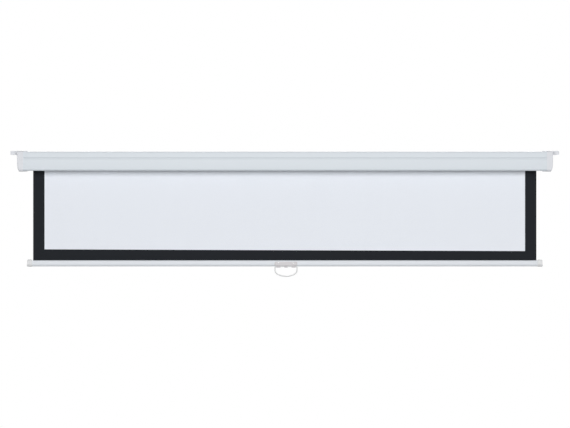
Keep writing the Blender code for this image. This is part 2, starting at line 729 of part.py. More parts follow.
def make_idle_plug():
    """A hollow nylon plug in the tube's left end, with a flange against the tube's end."""
    face = TUBE_HALF + GAP
    outer, wall = TUBE_BORE - GAP, TUBE_BORE - GAP - PLUG_WALL
    bore = PIN_RADIUS + GAP
    sleeve = bore + PLUG_WALL
    end = TUBE_HALF - PLUG_LENGTH
    plug = turned("idle_plug",
                  [(PLUG_FLANGE_RADIUS, face + PLUG_FLANGE), (PLUG_FLANGE_RADIUS, face),
                   (outer, face), (outer, end), (wall, end), (wall, face), (sleeve, face),
                   (sleeve, TUBE_HALF - PIN_IN_PLUG), (bore, TUBE_HALF - PIN_IN_PLUG),
                   (bore, face + PLUG_FLANGE)],
                  (0, ROLLER_Y, 0), ALONG_MINUS_X)
    return paint(plug, "nylon")


def make_roller_tube():
    tube = turned("roller_tube",
                  [(TUBE_RADIUS, TUBE_HALF), (TUBE_RADIUS, -TUBE_HALF),
                   (TUBE_BORE, -TUBE_HALF), (TUBE_BORE, TUBE_HALF)],
                  (0, ROLLER_Y, 0), ALONG_X, 32)
    return paint(tube, "steel")


def make_fabric_roll():
    """The wound fabric: it leaves at the back, goes over the top and winds inwards."""
    steps = 24
    outer = ROLL_OUTER - FABRIC_THICKNESS / 2
    path = []
    for i in range(ROLL_TURNS * steps + 1):
        turn = i / steps
        radius = outer - ROLL_PITCH * turn
        path.append((radius * math.cos(math.tau * turn), radius * math.sin(math.tau * turn)))
    gap = min(math.dist(path[i], path[i + steps]) for i in range(len(path) - steps))
    print("fabric roll: least gap between turns", round(1000 * (gap - FABRIC_THICKNESS), 2), "mm")
    roll = folded_sheet("fabric_roll", path, FABRIC_HALF, FABRIC_THICKNESS, (0, ROLLER_Y, 0), 0)
    return paint(roll, "fabric")


def head_face():
    """The inner face of the ratchet head's flange, which seats on the tube's end."""
    return TUBE_HALF + GAP


def make_ratchet_head():
    face = head_face()
    floor = face + CUP_FLOOR
    rim = floor + CUP_DEPTH
    outer, wall = TUBE_BORE - GAP, TUBE_BORE - GAP - PLUG_WALL
    bore = ARBOR_RADIUS + GAP
    end = TUBE_HALF - HEAD_PLUG_LENGTH
    head = turned("ratchet_head",
                  [(HEAD_RADIUS, rim), (HEAD_RADIUS, face), (outer, face), (outer, end),
                   (wall, end), (wall, face), (bore, face), (bore, floor), (CUP_RADIUS, floor),
                   (CUP_RADIUS, rim)],
                  (0, ROLLER_Y, 0), ALONG_X, 32)
    for tag, angle in PAWLS:
        y, z = pawl_pivot(angle)
        cut(head, cylinder("pawl_hole_" + tag, PAWL_PIN_RADIUS + GAP, floor - PAWL_PIN_DEPTH,
                           rim, (0, y, z), ALONG_X, 16))
    return paint(head, "nylon")


def pawl_pivot(angle):
    return (ROLLER_Y + PAWL_PIVOT_RADIUS * math.cos(angle), PAWL_PIVOT_RADIUS * math.sin(angle))


def make_ratchet_wheel():
    """Four notches, each with a steep face ahead of a long ramp down to it."""
    pitch = math.tau / WHEEL_NOTCHES
    face = PAWL_REACH + math.asin(GAP / PAWL_TIP)
    steps = 10
    loop = []
    for notch in range(WHEEL_NOTCHES):
        for i in range(steps + 1):
            share = i / steps
            radius = WHEEL_RADIUS - (WHEEL_RADIUS - WHEEL_ROOT) * share
            angle = face + pitch * (notch + share)
            loop.append((radius * math.cos(angle), radius * math.sin(angle)))
    middle = head_face() + CUP_FLOOR + WHEEL_FLOOR_GAP + WHEEL_THICKNESS / 2
    wheel = slab("ratchet_wheel", loop, WHEEL_THICKNESS, (middle, ROLLER_Y, 0), ALONG_X)
    cut(wheel, cylinder("wheel_bore", ARBOR_RADIUS + GAP, middle - WHEEL_THICKNESS,
                        middle + WHEEL_THICKNESS, (0, ROLLER_Y, 0), ALONG_X))
    return paint(wheel, "steel")


def pawl_loop():
    """A pawl down in its notch, about the roller's axis, with its pivot on the local x axis."""
    def on(radius, angle):
        return Vector((radius * math.cos(angle), radius * math.sin(angle)))

    pivot_spot = Vector((PAWL_PIVOT_RADIUS, 0))
    tooth = PAWL_REACH - PAWL_TOOTH
    start = math.radians(12)
    inner = [on(PAWL_INNER, start + (tooth - start) * i / 5) for i in range(6)]
    nose = [on(PAWL_TIP, tooth + PAWL_TOOTH * 0.3), on(PAWL_TIP, PAWL_REACH)]
    outer = [on(PAWL_OUTER, PAWL_REACH - (PAWL_REACH - start) * i / 5) for i in range(6)]
    eye = [pivot_spot + PAWL_EYE * Vector((math.cos(a), math.sin(a)))
           for a in (math.radians(50 - 27 * i) for i in range(10))]
    return inner + nose + outer + eye, pivot_spot


def make_pawl(tag, angle):
    """A pawl lifted clear of the wheel, with its origin on its pivot."""
    points, pivot_spot = pawl_loop()
    lift = Matrix.Rotation(angle - PAWL_SWING, 2)
    loop = [tuple(lift @ (point - pivot_spot)) for point in points]
    middle = head_face() + CUP_FLOOR + WHEEL_FLOOR_GAP + WHEEL_THICKNESS / 2
    y, z = pawl_pivot(angle)
    pawl = slab("pawl_" + tag, loop, PAWL_THICKNESS, (middle, y, z), ALONG_X)
    cut(pawl, cylinder("pawl_eye_" + tag, PAWL_PIN_RADIUS + GAP, middle - PAWL_THICKNESS,
                       middle + PAWL_THICKNESS, (0, y, z), ALONG_X, 16))
    return paint(pawl, "steel")


def make_pawl_pin(tag, angle):
    floor = head_face() + CUP_FLOOR
    middle = floor + WHEEL_FLOOR_GAP + WHEEL_THICKNESS / 2
    under = middle + PAWL_THICKNESS / 2 + GAP
    y, z = pawl_pivot(angle)
    pin = turned("pawl_pin_" + tag,
                 [(0, under + PAWL_PIN_HEAD_HEIGHT), (PAWL_PIN_HEAD, under + PAWL_PIN_HEAD_HEIGHT),
                  (PAWL_PIN_HEAD, under), (PAWL_PIN_RADIUS, under),
                  (PAWL_PIN_RADIUS, floor - PAWL_PIN_DEPTH + GAP),
                  (0, floor - PAWL_PIN_DEPTH + GAP)],
                 (0, y, z), ALONG_X, 16)
    return paint(pin, "steel")


def spring_start():
    """Where the spring's still end lies, along X."""
    return TUBE_HALF - HEAD_PLUG_LENGTH - COLLAR_FROM_PLUG - COLLAR_SHOULDER - GAP - SPRING_WIRE


def spring_end():
    return spring_start() - SPRING_TURNS * SPRING_PITCH


def make_spring_collar():
    """Pinned to the arbor, it holds the spring's still end."""
    outer = TUBE_HALF - HEAD_PLUG_LENGTH - COLLAR_FROM_PLUG
    inner = spring_start() - SPRING_HUB_TURNS * SPRING_PITCH
    bore = ARBOR_RADIUS + GAP
    collar = turned("spring_collar",
                    [(COLLAR_SHOULDER_RADIUS, outer),
                     (COLLAR_SHOULDER_RADIUS, outer - COLLAR_SHOULDER),
                     (SPRING_HUB, outer - COLLAR_SHOULDER), (SPRING_HUB, inner), (bore, inner),
                     (bore, outer)],
                    (0, ROLLER_Y, 0), ALONG_X)
    return paint(collar, "steel")


def make_spring_anchor():
    """Pressed into the tube, it holds the spring's moving end and steadies the arbor."""
    shoulder = spring_end() - SPRING_WIRE - GAP
    hub = spring_end() + SPRING_HUB_TURNS * SPRING_PITCH
    bore = ARBOR_RADIUS + GAP
    anchor = turned("spring_anchor",
                    [(SPRING_HUB, hub), (SPRING_HUB, shoulder), (TUBE_BORE - GAP, shoulder),
                     (TUBE_BORE - GAP, shoulder - ANCHOR_PLUG), (bore, shoulder - ANCHOR_PLUG),
                     (bore, hub)],
                    (0, ROLLER_Y, 0), ALONG_X)
    return paint(anchor, "nylon")


def make_torsion_spring():
    """A helix along the roller's axis, from its still end to its moving end."""
    steps = SPRING_STEPS
    points = []
    for i in range(SPRING_TURNS * steps + 1):
        turn = i / steps
        points.append((spring_start() - SPRING_PITCH * turn,
                       SPRING_RADIUS * math.cos(math.tau * turn),
                       SPRING_RADIUS * math.sin(math.tau * turn)))
    gap = min(math.dist(points[i], points[i + steps]) for i in range(len(points) - steps))
    print("torsion spring: least gap between turns", round(1000 * (gap - 2 * SPRING_WIRE), 2), "mm")
    spring = from_curve(add_object("torsion_spring",
                                   wire("torsion_spring", points, SPRING_WIRE, resolution=1)))
    place(spring, (0, ROLLER_Y, 0))
    return paint(spring, "spring")


def make_spring_arbor():
    """A round rod with a flat spear end that stops it from turning in its bracket."""
    inner = spring_end() - SPRING_WIRE - GAP - ANCHOR_PLUG - ARBOR_PAST_ANCHOR
    plate_end = CASE_HALF - GAP
    shoulder = plate_end - BRACKET_PLATE - HUB_LENGTH - GAP
    arbor = cylinder("spring_arbor", ARBOR_RADIUS, inner, shoulder, (0, ROLLER_Y, 0), ALONG_X)
    spear = block("spear", (shoulder - 0.004, ROLLER_Y - SPEAR_THICKNESS / 2, -SPEAR_WIDTH / 2),
                  (plate_end, ROLLER_Y + SPEAR_THICKNESS / 2, SPEAR_WIDTH / 2))
    return paint(join(arbor, spear), "steel")


def slat_corners():
    """The slat's section about the middle of its top, from the front lip of its mouth round."""
    half, mouth = SLAT_DEPTH / 2, SLAT_MOUTH / 2
    groove = -SLAT_GROOVE_DROP
    return [(-mouth, 0, 0), (-half, 0, SLAT_TOP_RADIUS),
            (-half, groove + SLAT_GROOVE, 0), (-half + SLAT_GROOVE, groove, 0),
            (-half, groove - SLAT_GROOVE, 0),
            (-half, -SLAT_HEIGHT, SLAT_BOTTOM_RADIUS), (half, -SLAT_HEIGHT, SLAT_BOTTOM_RADIUS),
            (half, 0, SLAT_TOP_RADIUS), (mouth, 0, 0)]


def make_slat():
    slat = folded_sheet("slat", rounded(slat_corners(), 5), SLAT_HALF, SLAT_WALL,
                        (0, FABRIC_Y, SLAT_TOP), 1)
    for hand, name in SIDES:
        cut(slat, cylinder("slat_hole_" + name, RIVET_RADIUS + GAP, -0.003, 0.003,
                           (HANDLE_X + hand * RIVET_FROM_MIDDLE, SLAT_FRONT,
                            SLAT_TOP - RIVET_DROP), FACING_FRONT, 16))
    return paint(slat, "slat")


def hem_loop():
    """(the loop's middle below the slat's top, the loop's radius to the fabric's middle)."""
    radius = SPLINE_RADIUS + GAP + FABRIC_THICKNESS / 2
    outer = radius + FABRIC_THICKNESS / 2
    rise = math.sqrt(outer ** 2 - (SLAT_MOUTH / 2) ** 2)
    return SLAT_WALL + GAP + rise, radius


def make_screen_fabric():
    """The hanging sheet, from beside the roll down into the slat, with a hem loop at its end."""
    drop, radius = hem_loop()
    middle = SLAT_TOP - drop
    steps = 20
    open_angle = (HEM_LOOP_GAP + FABRIC_THICKNESS) / radius
    loop = [math.pi / 2 + (math.tau - open_angle) * i / steps for i in range(steps + 1)]
    path = [(0, 0)] + [(radius * math.cos(a), middle + radius * math.sin(a)) for a in loop]
    sheet = folded_sheet("screen_fabric", path, FABRIC_HALF, FABRIC_THICKNESS,
                         (0, FABRIC_Y, 0), 0)
    return paint(sheet, "fabric")


def make_fabric_spline():
    drop, _ = hem_loop()
    half = FABRIC_HALF - SPLINE_SHORT
    rod = cylinder("fabric_spline", SPLINE_RADIUS, -half, half,
                   (0, FABRIC_Y, SLAT_TOP - drop), ALONG_X, 16)
    return paint(rod, "nylon")


def make_slat_cap(side, name):
    """A knob of two lobes, seen from the front, that goes over the slat's end."""
    inner, outer = side * (SLAT_HALF - KNOB_SLEEVE), side * (SLAT_HALF + KNOB_WALL)
    lower_outer = outer + side * KNOB_LIP
    top, bottom = SLAT_TOP + KNOB_RISE, SLAT_BOTTOM - KNOB_FALL
    waist = top - KNOB_WAIST_DROP
    corners = [(inner, bottom, KNOB_INNER_RADIUS), (lower_outer, bottom, KNOB_LOW_RADIUS),
               (lower_outer, waist, KNOB_WAIST_RADIUS), (outer - side * KNOB_LIP, waist, 0),
               (outer, waist + KNOB_LIP, 0), (outer, top, KNOB_HIGH_RADIUS),
               (inner, top, KNOB_INNER_RADIUS)]
    corners = corners[::side]
    half = SLAT_DEPTH / 2 + KNOB_SIDE
    turn = rounding(KNOB_ROUND, 3)
    rear = [(-(half - KNOB_ROUND + along), drawn_in) for drawn_in, along in reversed(turn)]
    front = [(half - KNOB_ROUND + along, drawn_in) for drawn_in, along in turn]
    knob = lofted("slat_cap_" + name,
                  [(depth, rounded(outset(corners, -drawn_in, True), 4, True))
                   for depth, drawn_in in rear + front],
                  (0, FABRIC_Y, 0), FACING_FRONT)
    half_slat = SLAT_DEPTH / 2
    section = [(half_slat, 0, SLAT_TOP_RADIUS), (-half_slat, 0, SLAT_TOP_RADIUS),
               (-half_slat, -SLAT_HEIGHT, SLAT_BOTTOM_RADIUS),
               (half_slat, -SLAT_HEIGHT, SLAT_BOTTOM_RADIUS)]
    hollow = rounded(outset(section, GAP, True), 5, True)
    deep = KNOB_SLEEVE + GAP + WALL_STAND_OFF
    cut(knob, slab("slat_socket_" + name, hollow, deep,
                   (side * (SLAT_HALF + GAP - deep / 2), FABRIC_Y, SLAT_TOP), ALONG_X))
    return paint(knob, "cap")


def clip_plate_loop():
    """The clip's plate from the front, cut away over the ring's legs and scalloped between."""
    top = SLAT_TOP - CLIP_TOP_DROP
    over_leg = RING_Z + KNUCKLE_RADIUS + GAP
    scallop = RING_Z + CLIP_SCALLOP
    corners = [(-CLIP_HALF, top, CLIP_CORNER), (-CLIP_HALF, over_leg, CLIP_FILLET)]
    last = len(KNUCKLES) - 1
    for i, (left, right) in enumerate(KNUCKLES):
        left, right = left + KNUCKLE_STEP, right - KNUCKLE_STEP
        before = over_leg if i == 0 else scallop
        after = over_leg if i == last else scallop
        corners += [(left, before, CLIP_FILLET), (left, RING_Z, 0),
                    (right, RING_Z, 0), (right, after, CLIP_FILLET)]
    corners += [(CLIP_HALF, over_leg, CLIP_FILLET), (CLIP_HALF, top, CLIP_CORNER)]
    return rounded(corners, 3, closed=True)


def make_handle_clip():
    clip = slab("handle_clip", clip_plate_loop(), CLIP_THICKNESS, (HANDLE_X, CLIP_Y, 0),
                FACING_FRONT)
    for hand, name in SIDES:
        cut(clip, cylinder("clip_hole_" + name, RIVET_RADIUS + GAP, -CLIP_THICKNESS,
                           CLIP_THICKNESS, (HANDLE_X + hand * RIVET_FROM_MIDDLE, CLIP_Y,
                                            SLAT_TOP - RIVET_DROP), FACING_FRONT, 16))
    for i, (left, right) in enumerate(KNUCKLES):
        join(clip, cylinder("knuckle_" + str(i), KNUCKLE_RADIUS, left, right,
                            (HANDLE_X, RING_Y, RING_Z), ALONG_X))
    cut(clip, cylinder("knuckle_bore", RING_WIRE + GAP, -2 * CLIP_HALF, 2 * CLIP_HALF,
                       (HANDLE_X, RING_Y, RING_Z), ALONG_X))
    return paint(clip, "clip")


def make_clip_rivet(hand, name):
    face = CLIP_THICKNESS + 2 * GAP
    rivet = turned("clip_rivet_" + name,
                   [(0, face + RIVET_DOME), (0.55 * RIVET_HEAD, face + 0.8 * RIVET_DOME),
                    (RIVET_HEAD, face), (RIVET_RADIUS, face),
                    (RIVET_RADIUS, -(SLAT_WALL + RIVET_PAST)), (0, -(SLAT_WALL + RIVET_PAST))],
                   (HANDLE_X + hand * RIVET_FROM_MIDDLE, SLAT_FRONT, SLAT_TOP - RIVET_DROP),
                   FACING_FRONT, 16)
    return paint(rivet, "steel")


def make_handle_ring():
    """A closed wire: a straight bar in the knuckles, two legs and a half ellipse."""
    corner = [(RING_HALF - RING_CORNER * (1 - math.sin(a)), -RING_CORNER * (1 - math.cos(a)))
              for a in (math.pi / 2 * i / 4 for i in range(5))]
    swell = [(RING_HALF * math.cos(a), -RING_LEG - RING_SWELL * math.sin(a))
             for a in (math.pi * i / 24 for i in range(25))]
    left = [(-x, z) for x, z in reversed(corner)]
    bar = [(x, 0.0) for x in (-0.020, 0.0, 0.020)]
    points = [(x, 0, z) for x, z in bar + corner + swell + left]
    ring = add_object("handle_ring", wire("handle_ring", points, RING_WIRE, closed=True),
                      (HANDLE_X, RING_Y, RING_Z))
    return paint(ring, "ring")


clear_scene()
PARTS = new_group("projector_screen")
CUTTERS = new_group("cutters")
MATERIALS = {slot: new_material(slot) for slot in COLOURS}
SIDES = ((-1, "left"), (1, "right"))
PAWLS = (("a", 0.0), ("b", math.pi))

make_case_shell()
for hand, hand_name in SIDES:
    make_end_cap(hand, hand_name)
    make_top_screw(hand, hand_name)
    for level in END_SCREW_SPOTS:
        make_end_screw(hand, hand_name, level)
    make_bracket(hand, hand_name)
make_idle_bush()
make_spring_arbor()
make_ratchet_wheel()
make_spring_collar()
make_torsion_spring()

roller_axis = pivot("roller_axis", (0, ROLLER_Y, 0))
pawl_pins = [make_pawl_pin(tag, angle) for tag, angle in PAWLS]
hang_on(roller_axis, make_roller_tube(), make_fabric_roll(), make_ratchet_head(),
        make_spring_anchor(), make_idle_plug(), make_idle_pin(), *pawl_pins)
for tag, angle in PAWLS:
    hang_on(roller_axis, make_pawl(tag, angle))

slat_slide = pivot("slat_slide", (0, FABRIC_Y, SLAT_TOP))
rivets = [make_clip_rivet(hand, hand_name) for hand, hand_name in SIDES]
knobs = [make_slat_cap(hand, hand_name) for hand, hand_name in SIDES]
hang_on(slat_slide, make_slat(), make_fabric_spline(), make_screen_fabric(), make_handle_clip(),
        *rivets, *knobs)
hang_on(slat_slide, make_handle_ring())
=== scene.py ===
import math

import bmesh
import bpy
from mathutils import Matrix, Vector


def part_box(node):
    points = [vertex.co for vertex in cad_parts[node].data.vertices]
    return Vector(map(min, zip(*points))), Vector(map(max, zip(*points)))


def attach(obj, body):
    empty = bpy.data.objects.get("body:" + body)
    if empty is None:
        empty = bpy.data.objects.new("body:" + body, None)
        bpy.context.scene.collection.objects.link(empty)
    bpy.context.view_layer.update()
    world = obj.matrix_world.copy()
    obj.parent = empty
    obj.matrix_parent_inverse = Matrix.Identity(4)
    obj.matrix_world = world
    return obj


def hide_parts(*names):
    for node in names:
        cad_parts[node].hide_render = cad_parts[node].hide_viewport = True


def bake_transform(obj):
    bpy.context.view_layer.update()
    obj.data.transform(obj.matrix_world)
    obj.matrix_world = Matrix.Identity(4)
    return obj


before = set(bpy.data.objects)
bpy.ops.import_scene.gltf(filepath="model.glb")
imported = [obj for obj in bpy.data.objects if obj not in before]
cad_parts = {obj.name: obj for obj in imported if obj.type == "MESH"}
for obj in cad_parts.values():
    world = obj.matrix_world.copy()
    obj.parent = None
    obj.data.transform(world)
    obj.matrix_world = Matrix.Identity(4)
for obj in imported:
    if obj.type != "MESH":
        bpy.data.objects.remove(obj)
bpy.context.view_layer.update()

print("frame loaded:", len(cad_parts), "nodes")

# Metres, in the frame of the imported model: X along the case, the wall at y = 0, the front towards -Y.

gap = 0.0003              # between pieces that seat on each other
over = 0.001              # how far a cutter reaches past what it cuts
leastRadius = 0.00005     # of a rounded corner that is set in or out
edgeAngle = 35            # degrees, over which an edge stays sharp or gets a small round
flatAngle = 0.5           # degrees, within which neighbouring faces become one
quarterTurn = math.pi / 2
sides = ((-1, "left"), (1, "right"))
upright = Matrix.Identity(3)
facingFront = Matrix(((1, 0, 0), (0, 0, -1), (0, 1, 0)))      # drawn x is X, drawn y is Z
alongX = Matrix(((0, 0, 1), (1, 0, 0), (0, 1, 0)))            # drawn x is Y, drawn y is Z
outwards = {1: alongX, -1: Matrix(((0, 0, -1), (-1, 0, 0), (0, 1, 0)))}      # heights go out of an end


def evenly(end, steps):
    # from 0 to the end, both counted
    return [end * k / steps for k in range(steps + 1)]


def linear(red, green, blue):
    # a colour as written on a screen, 0 to 255, in Blender's own light values
    return [((c / 255 + 0.055) / 1.055) ** 2.4 if c > 10 else c / 3294.6 for c in (red, green, blue)]


def shaded(colour, share):
    return [c * share for c in colour]


def addNode(tree, kind, links=(), **settings):
    node = tree.nodes.new(kind)
    for key, value in settings.items():
        if key.startswith("in_"):
            node.inputs[key[3:].replace("_", " ")].default_value = value
        else:
            setattr(node, key, value)
    for socket, source in links:
        tree.links.new(source, node.inputs[socket])
    return node


def mixColours(tree, share, first, second):
    # each is a colour or another node's output
    node = addNode(tree, "ShaderNodeMix", [("Factor", share)], data_type="RGBA")
    for socket, given in ((6, first), (7, second)):      # the node's two colours
        if isinstance(given, bpy.types.NodeSocket):
            tree.links.new(given, node.inputs[socket])
        else:
            node.inputs[socket].default_value = (*given, 1)
    return node.outputs[2]


# what the materials share; bandScale is a wave texture's scale times the width of its bands
texture = dict(
    cloudDetail=4.0, cloudRoughness=0.55, grainDetail=3.0, grainRoughness=0.5, sheenRoughness=0.6,
    edgeSamples=8, edgeStart=0.99, edgeFull=0.80, bandScale=0.314, threadWobble=0.6, threadDetail=1.0)


def newMaterial(name, look):
    # colour clouds, grain in the bump and the roughness, and paler edges or crossed threads where asked
    # for, their valleys darkened as painted shade
    made = bpy.data.materials.new(name)
    made.use_nodes = True
    tree = made.node_tree
    shader = tree.nodes["Principled BSDF"]
    shader.inputs["Metallic"].default_value = look.get("metallic", 0.0)
    shader.inputs["Specular IOR Level"].default_value = look.get("specular", 0.5)
    shader.inputs["Sheen Weight"].default_value = look.get("sheen", 0.0)
    shader.inputs["Sheen Roughness"].default_value = texture["sheenRoughness"]
    place = addNode(tree, "ShaderNodeTexCoord").outputs["Object"]
    stretched = addNode(tree, "ShaderNodeMapping", [("Vector", place)],
                        in_Scale=look.get("stretch", (1, 1, 1))).outputs["Vector"]
    clouds = addNode(tree, "ShaderNodeTexNoise", [("Vector", place)], in_Scale=look["cloudScale"],
                     in_Detail=texture["cloudDetail"],
                     in_Roughness=texture["cloudRoughness"]).outputs["Fac"]
    grain = addNode(tree, "ShaderNodeTexNoise", [("Vector", stretched)], in_Scale=look["grainScale"],
                    in_Detail=texture["grainDetail"],
                    in_Roughness=texture["grainRoughness"]).outputs["Fac"]
    tinted = mixColours(tree, clouds, look["colour"], shaded(look["colour"], look["cloudShade"]))
    if "edge" in look:
        # the nearer an edge, the more a rounded normal leans away from the face's own
        rounded = addNode(tree, "ShaderNodeBevel", samples=texture["edgeSamples"],
                          in_Radius=look["edgeWidth"]).outputs[0]
        plain = addNode(tree, "ShaderNodeNewGeometry").outputs["Normal"]
        lean = addNode(tree, "ShaderNodeVectorMath", [(0, rounded), (1, plain)],
                       operation="DOT_PRODUCT").outputs["Value"]
        worn = addNode(tree, "ShaderNodeMapRange", [("Value", lean)],
                       in_From_Min=texture["edgeStart"], in_From_Max=texture["edgeFull"],
                       in_To_Max=look["edgeAmount"]).outputs["Result"]
        tinted = mixColours(tree, worn, tinted, look["edge"])
    height = grain
    if "thread" in look:
        # threads both ways; where they are low the colour is darker, partly the cloth's own look, partly
        # painted shade in the valleys between them
        for axis in "XZ":
            threads = addNode(tree, "ShaderNodeTexWave", [("Vector", place)], bands_direction=axis,
                              in_Scale=texture["bandScale"] / look["thread"],
                              in_Distortion=texture["threadWobble"],
                              in_Detail=texture["threadDetail"])
            raised = addNode(tree, "ShaderNodeMath", [(0, threads.outputs["Fac"]), (2, height)],
                             operation="MULTIPLY_ADD")
            raised.inputs[1].default_value = look["threadRise"]
            height = raised.outputs[0]
        low, high = look["weaveSpan"]
        paintedValleyShare = addNode(tree, "ShaderNodeMapRange", [("Value", height)], in_From_Min=low,
                        in_From_Max=high).outputs["Result"]
        # painted shade: the thread valleys get a darker copy of the colour
        tinted = mixColours(tree, paintedValleyShare, shaded(look["colour"], look["paintedValleyShade"]), tinted)
    smoothest, roughest = look["roughness"]
    rough = addNode(tree, "ShaderNodeMapRange", [("Value", grain)], in_To_Min=smoothest,
                    in_To_Max=roughest).outputs["Result"]
    bump = addNode(tree, "ShaderNodeBump", [("Height", height)],
                   in_Strength=look.get("bumpStrength", 0.5), in_Distance=look["bump"])
    tree.links.new(tinted, shader.inputs["Base Color"])
    tree.links.new(rough, shader.inputs["Roughness"])
    tree.links.new(bump.outputs["Normal"], shader.inputs["Normal"])
    return made


finishes = {
    "casePaint": dict(colour=linear(206, 213, 219), cloudScale=1.3, cloudShade=0.975, grainScale=900,
                      roughness=(0.32, 0.48), bump=0.00014, specular=0.45),
    "slatPaint": dict(colour=linear(222, 226, 231), cloudScale=2.0, cloudShade=0.97, grainScale=1000,
                      roughness=(0.32, 0.46), bump=0.00012, specular=0.3),
    "capPlastic": dict(colour=linear(214, 216, 221), cloudScale=30, cloudShade=0.97, grainScale=1500,
                       roughness=(0.38, 0.54), bump=0.00014, specular=0.42,
                       edge=linear(240, 240, 240), edgeWidth=0.0007, edgeAmount=0.5),
    "knobPlastic": dict(colour=linear(220, 221, 222), cloudScale=40, cloudShade=0.96, grainScale=1600,
                        roughness=(0.34, 0.48), bump=0.00012, specular=0.45,
                        edge=linear(240, 240, 240), edgeWidth=0.0006, edgeAmount=0.5),
    "clipPlastic": dict(colour=linear(200, 197, 199), cloudScale=60, cloudShade=0.96, grainScale=1400,
                        roughness=(0.30, 0.44), bump=0.00012, specular=0.5,
                        edge=linear(228, 226, 228), edgeWidth=0.0005, edgeAmount=0.5),
    "ringPlastic": dict(colour=linear(214, 215, 215), cloudScale=50, cloudShade=0.96, grainScale=1200,
                        roughness=(0.28, 0.40), bump=0.00008, specular=0.5),
    # the sheets' colour is darkened in their thread valleys, partly painted shade
    "sheetWhite": dict(colour=linear(240, 244, 251), cloudScale=1.6, cloudShade=0.985, grainScale=700,
                       roughness=(0.80, 0.92), bump=0.00016, bumpStrength=1.0, specular=0.25, sheen=0.08,
                       thread=0.0009, threadRise=0.5, weaveSpan=(0.5, 1.3), paintedValleyShade=0.88),
    "sheetBlack": dict(colour=linear(32, 35, 40), cloudScale=2.5, cloudShade=0.85, grainScale=700,
                       roughness=(0.66, 0.80), bump=0.00016, bumpStrength=1.0, specular=0.12,
                       thread=0.0009, threadRise=0.5, weaveSpan=(0.5, 1.3), paintedValleyShade=0.60),
    "platedSteel": dict(colour=(0.56, 0.57, 0.59), cloudScale=55, cloudShade=0.86, grainScale=420,
                        stretch=(1, 6, 6), roughness=(0.24, 0.42), bump=0.00004, metallic=1.0,
                        edge=(0.74, 0.75, 0.77), edgeWidth=0.0004, edgeAmount=0.6),
    "screwSteel": dict(colour=(0.62, 0.62, 0.63), cloudScale=300, cloudShade=0.8, grainScale=2500,
                       roughness=(0.20, 0.38), bump=0.00003, metallic=1.0),
    "springSteel": dict(colour=(0.24, 0.245, 0.26), cloudScale=120, cloudShade=0.7, grainScale=1500,
                        roughness=(0.28, 0.45), bump=0.00003, metallic=1.0),
    "brass": dict(colour=(0.72, 0.55, 0.26), cloudScale=200, cloudShade=0.85, grainScale=900,
                  stretch=(1, 4, 4), roughness=(0.25, 0.40), bump=0.00003, metallic=1.0),
    "nylon": dict(colour=(0.72, 0.70, 0.62), cloudScale=70, cloudShade=0.93, grainScale=1300,
                  roughness=(0.42, 0.55), bump=0.00004, specular=0.4),
}
materials = {name: newMaterial(name, look) for name, look in finishes.items()}
print("materials made:", len(materials))


def shadeSmooth(data, sharp=edgeAngle):
    # smooth, except for the edges over that angle
    data.shade_smooth()
    data.set_sharp_from_angle(angle=math.radians(sharp))


def addPiece(name, shape, finish, spot=(0, 0, 0), turn=upright, sharp=30):
    if isinstance(shape, bmesh.types.BMesh):
        bmesh.ops.recalc_face_normals(shape, faces=shape.faces)
        data = bpy.data.meshes.new(name)
        shape.to_mesh(data)
        shape.free()
        shape = data
    made = bpy.data.objects.new(name, shape)
    bpy.context.scene.collection.objects.link(made)
    made.matrix_world = Matrix.Translation(spot) @ turn.to_4x4()
    for each in [finish] if isinstance(finish, str) else finish:
        made.data.materials.append(materials[each])
    shadeSmooth(made.data, sharp)
    return made


def roundedPath(corners, steps=8, closed=False):
    # a path through (across, up, radius) corners, each rounded by an arc of its radius
    path = []
    for i, (across, up, radius) in enumerate(corners):
        if radius <= 0 or (not closed and i in (0, len(corners) - 1)):
            path.append((across, up))
            continue
        here = Vector((across, up))
        back = (Vector(corners[i - 1][:2]) - here).normalized()
        on = (Vector(corners[(i + 1) % len(corners)][:2]) - here).normalized()
        half = back.angle(on) / 2
        middle = here + (back + on).normalized() * radius / math.sin(half)
        start = here + back * radius / math.tan(half) - middle
        turn = (here + on * radius / math.tan(half) - middle).angle_signed(start)
        path += [tuple(middle + Matrix.Rotation(a, 2) @ start) for a in evenly(turn, steps)]
    return path


def outset(corners, distance, closed=False):
    # (across, up, radius) corners moved to their right by a distance, with radii to match
    count = len(corners)
    lines = []
    for i in range(count if closed else count - 1):
        here, there = Vector(corners[i][:2]), Vector(corners[(i + 1) % count][:2])
        along = (there - here).normalized()
        lines.append((here + distance * Vector((along.y, -along.x)), along))
    moved = []
    for i, (across, up, radius) in enumerate(corners):
        if not closed and i in (0, count - 1):
            along = lines[min(i, count - 2)][1]
            moved.append((across + distance * along.y, up - distance * along.x, 0))
            continue
        (start, along), (other, otherAlong) = lines[i - 1], lines[i % len(lines)]
        bend = along.cross(otherAlong)
        spot = start + along * ((other - start).cross(otherAlong) / bend)
        grown = max(radius + (distance if bend > 0 else -distance), leastRadius)
        moved.append((*spot, grown if radius else 0))
    return moved


def wallOf(name, outer, inner, stations, finish, spot=(0, 0, 0)):
    # a bent wall between two outlines of (y, z) points, drawn along X through the stations
    shape = bmesh.new()
    skins = [[[shape.verts.new((x, y, z)) for y, z in line] for x in stations]
             for line in (outer, inner)]
    for skin in skins:
        for low, high in zip(skin, skin[1:]):
            for i in range(len(low) - 1):
                shape.faces.new((low[i], low[i + 1], high[i + 1], high[i]))
    for end in (0, -1):
        out, back = skins[0][end], skins[1][end]
        for i in range(len(out) - 1):
            shape.faces.new((out[i], out[i + 1], back[i + 1], back[i]))
    for edge in (0, -1):
        for k in range(len(stations) - 1):
            shape.faces.new((skins[0][k][edge], skins[0][k + 1][edge],
                             skins[1][k + 1][edge], skins[1][k][edge]))
    return addPiece(name, shape, finish, spot, sharp=40)


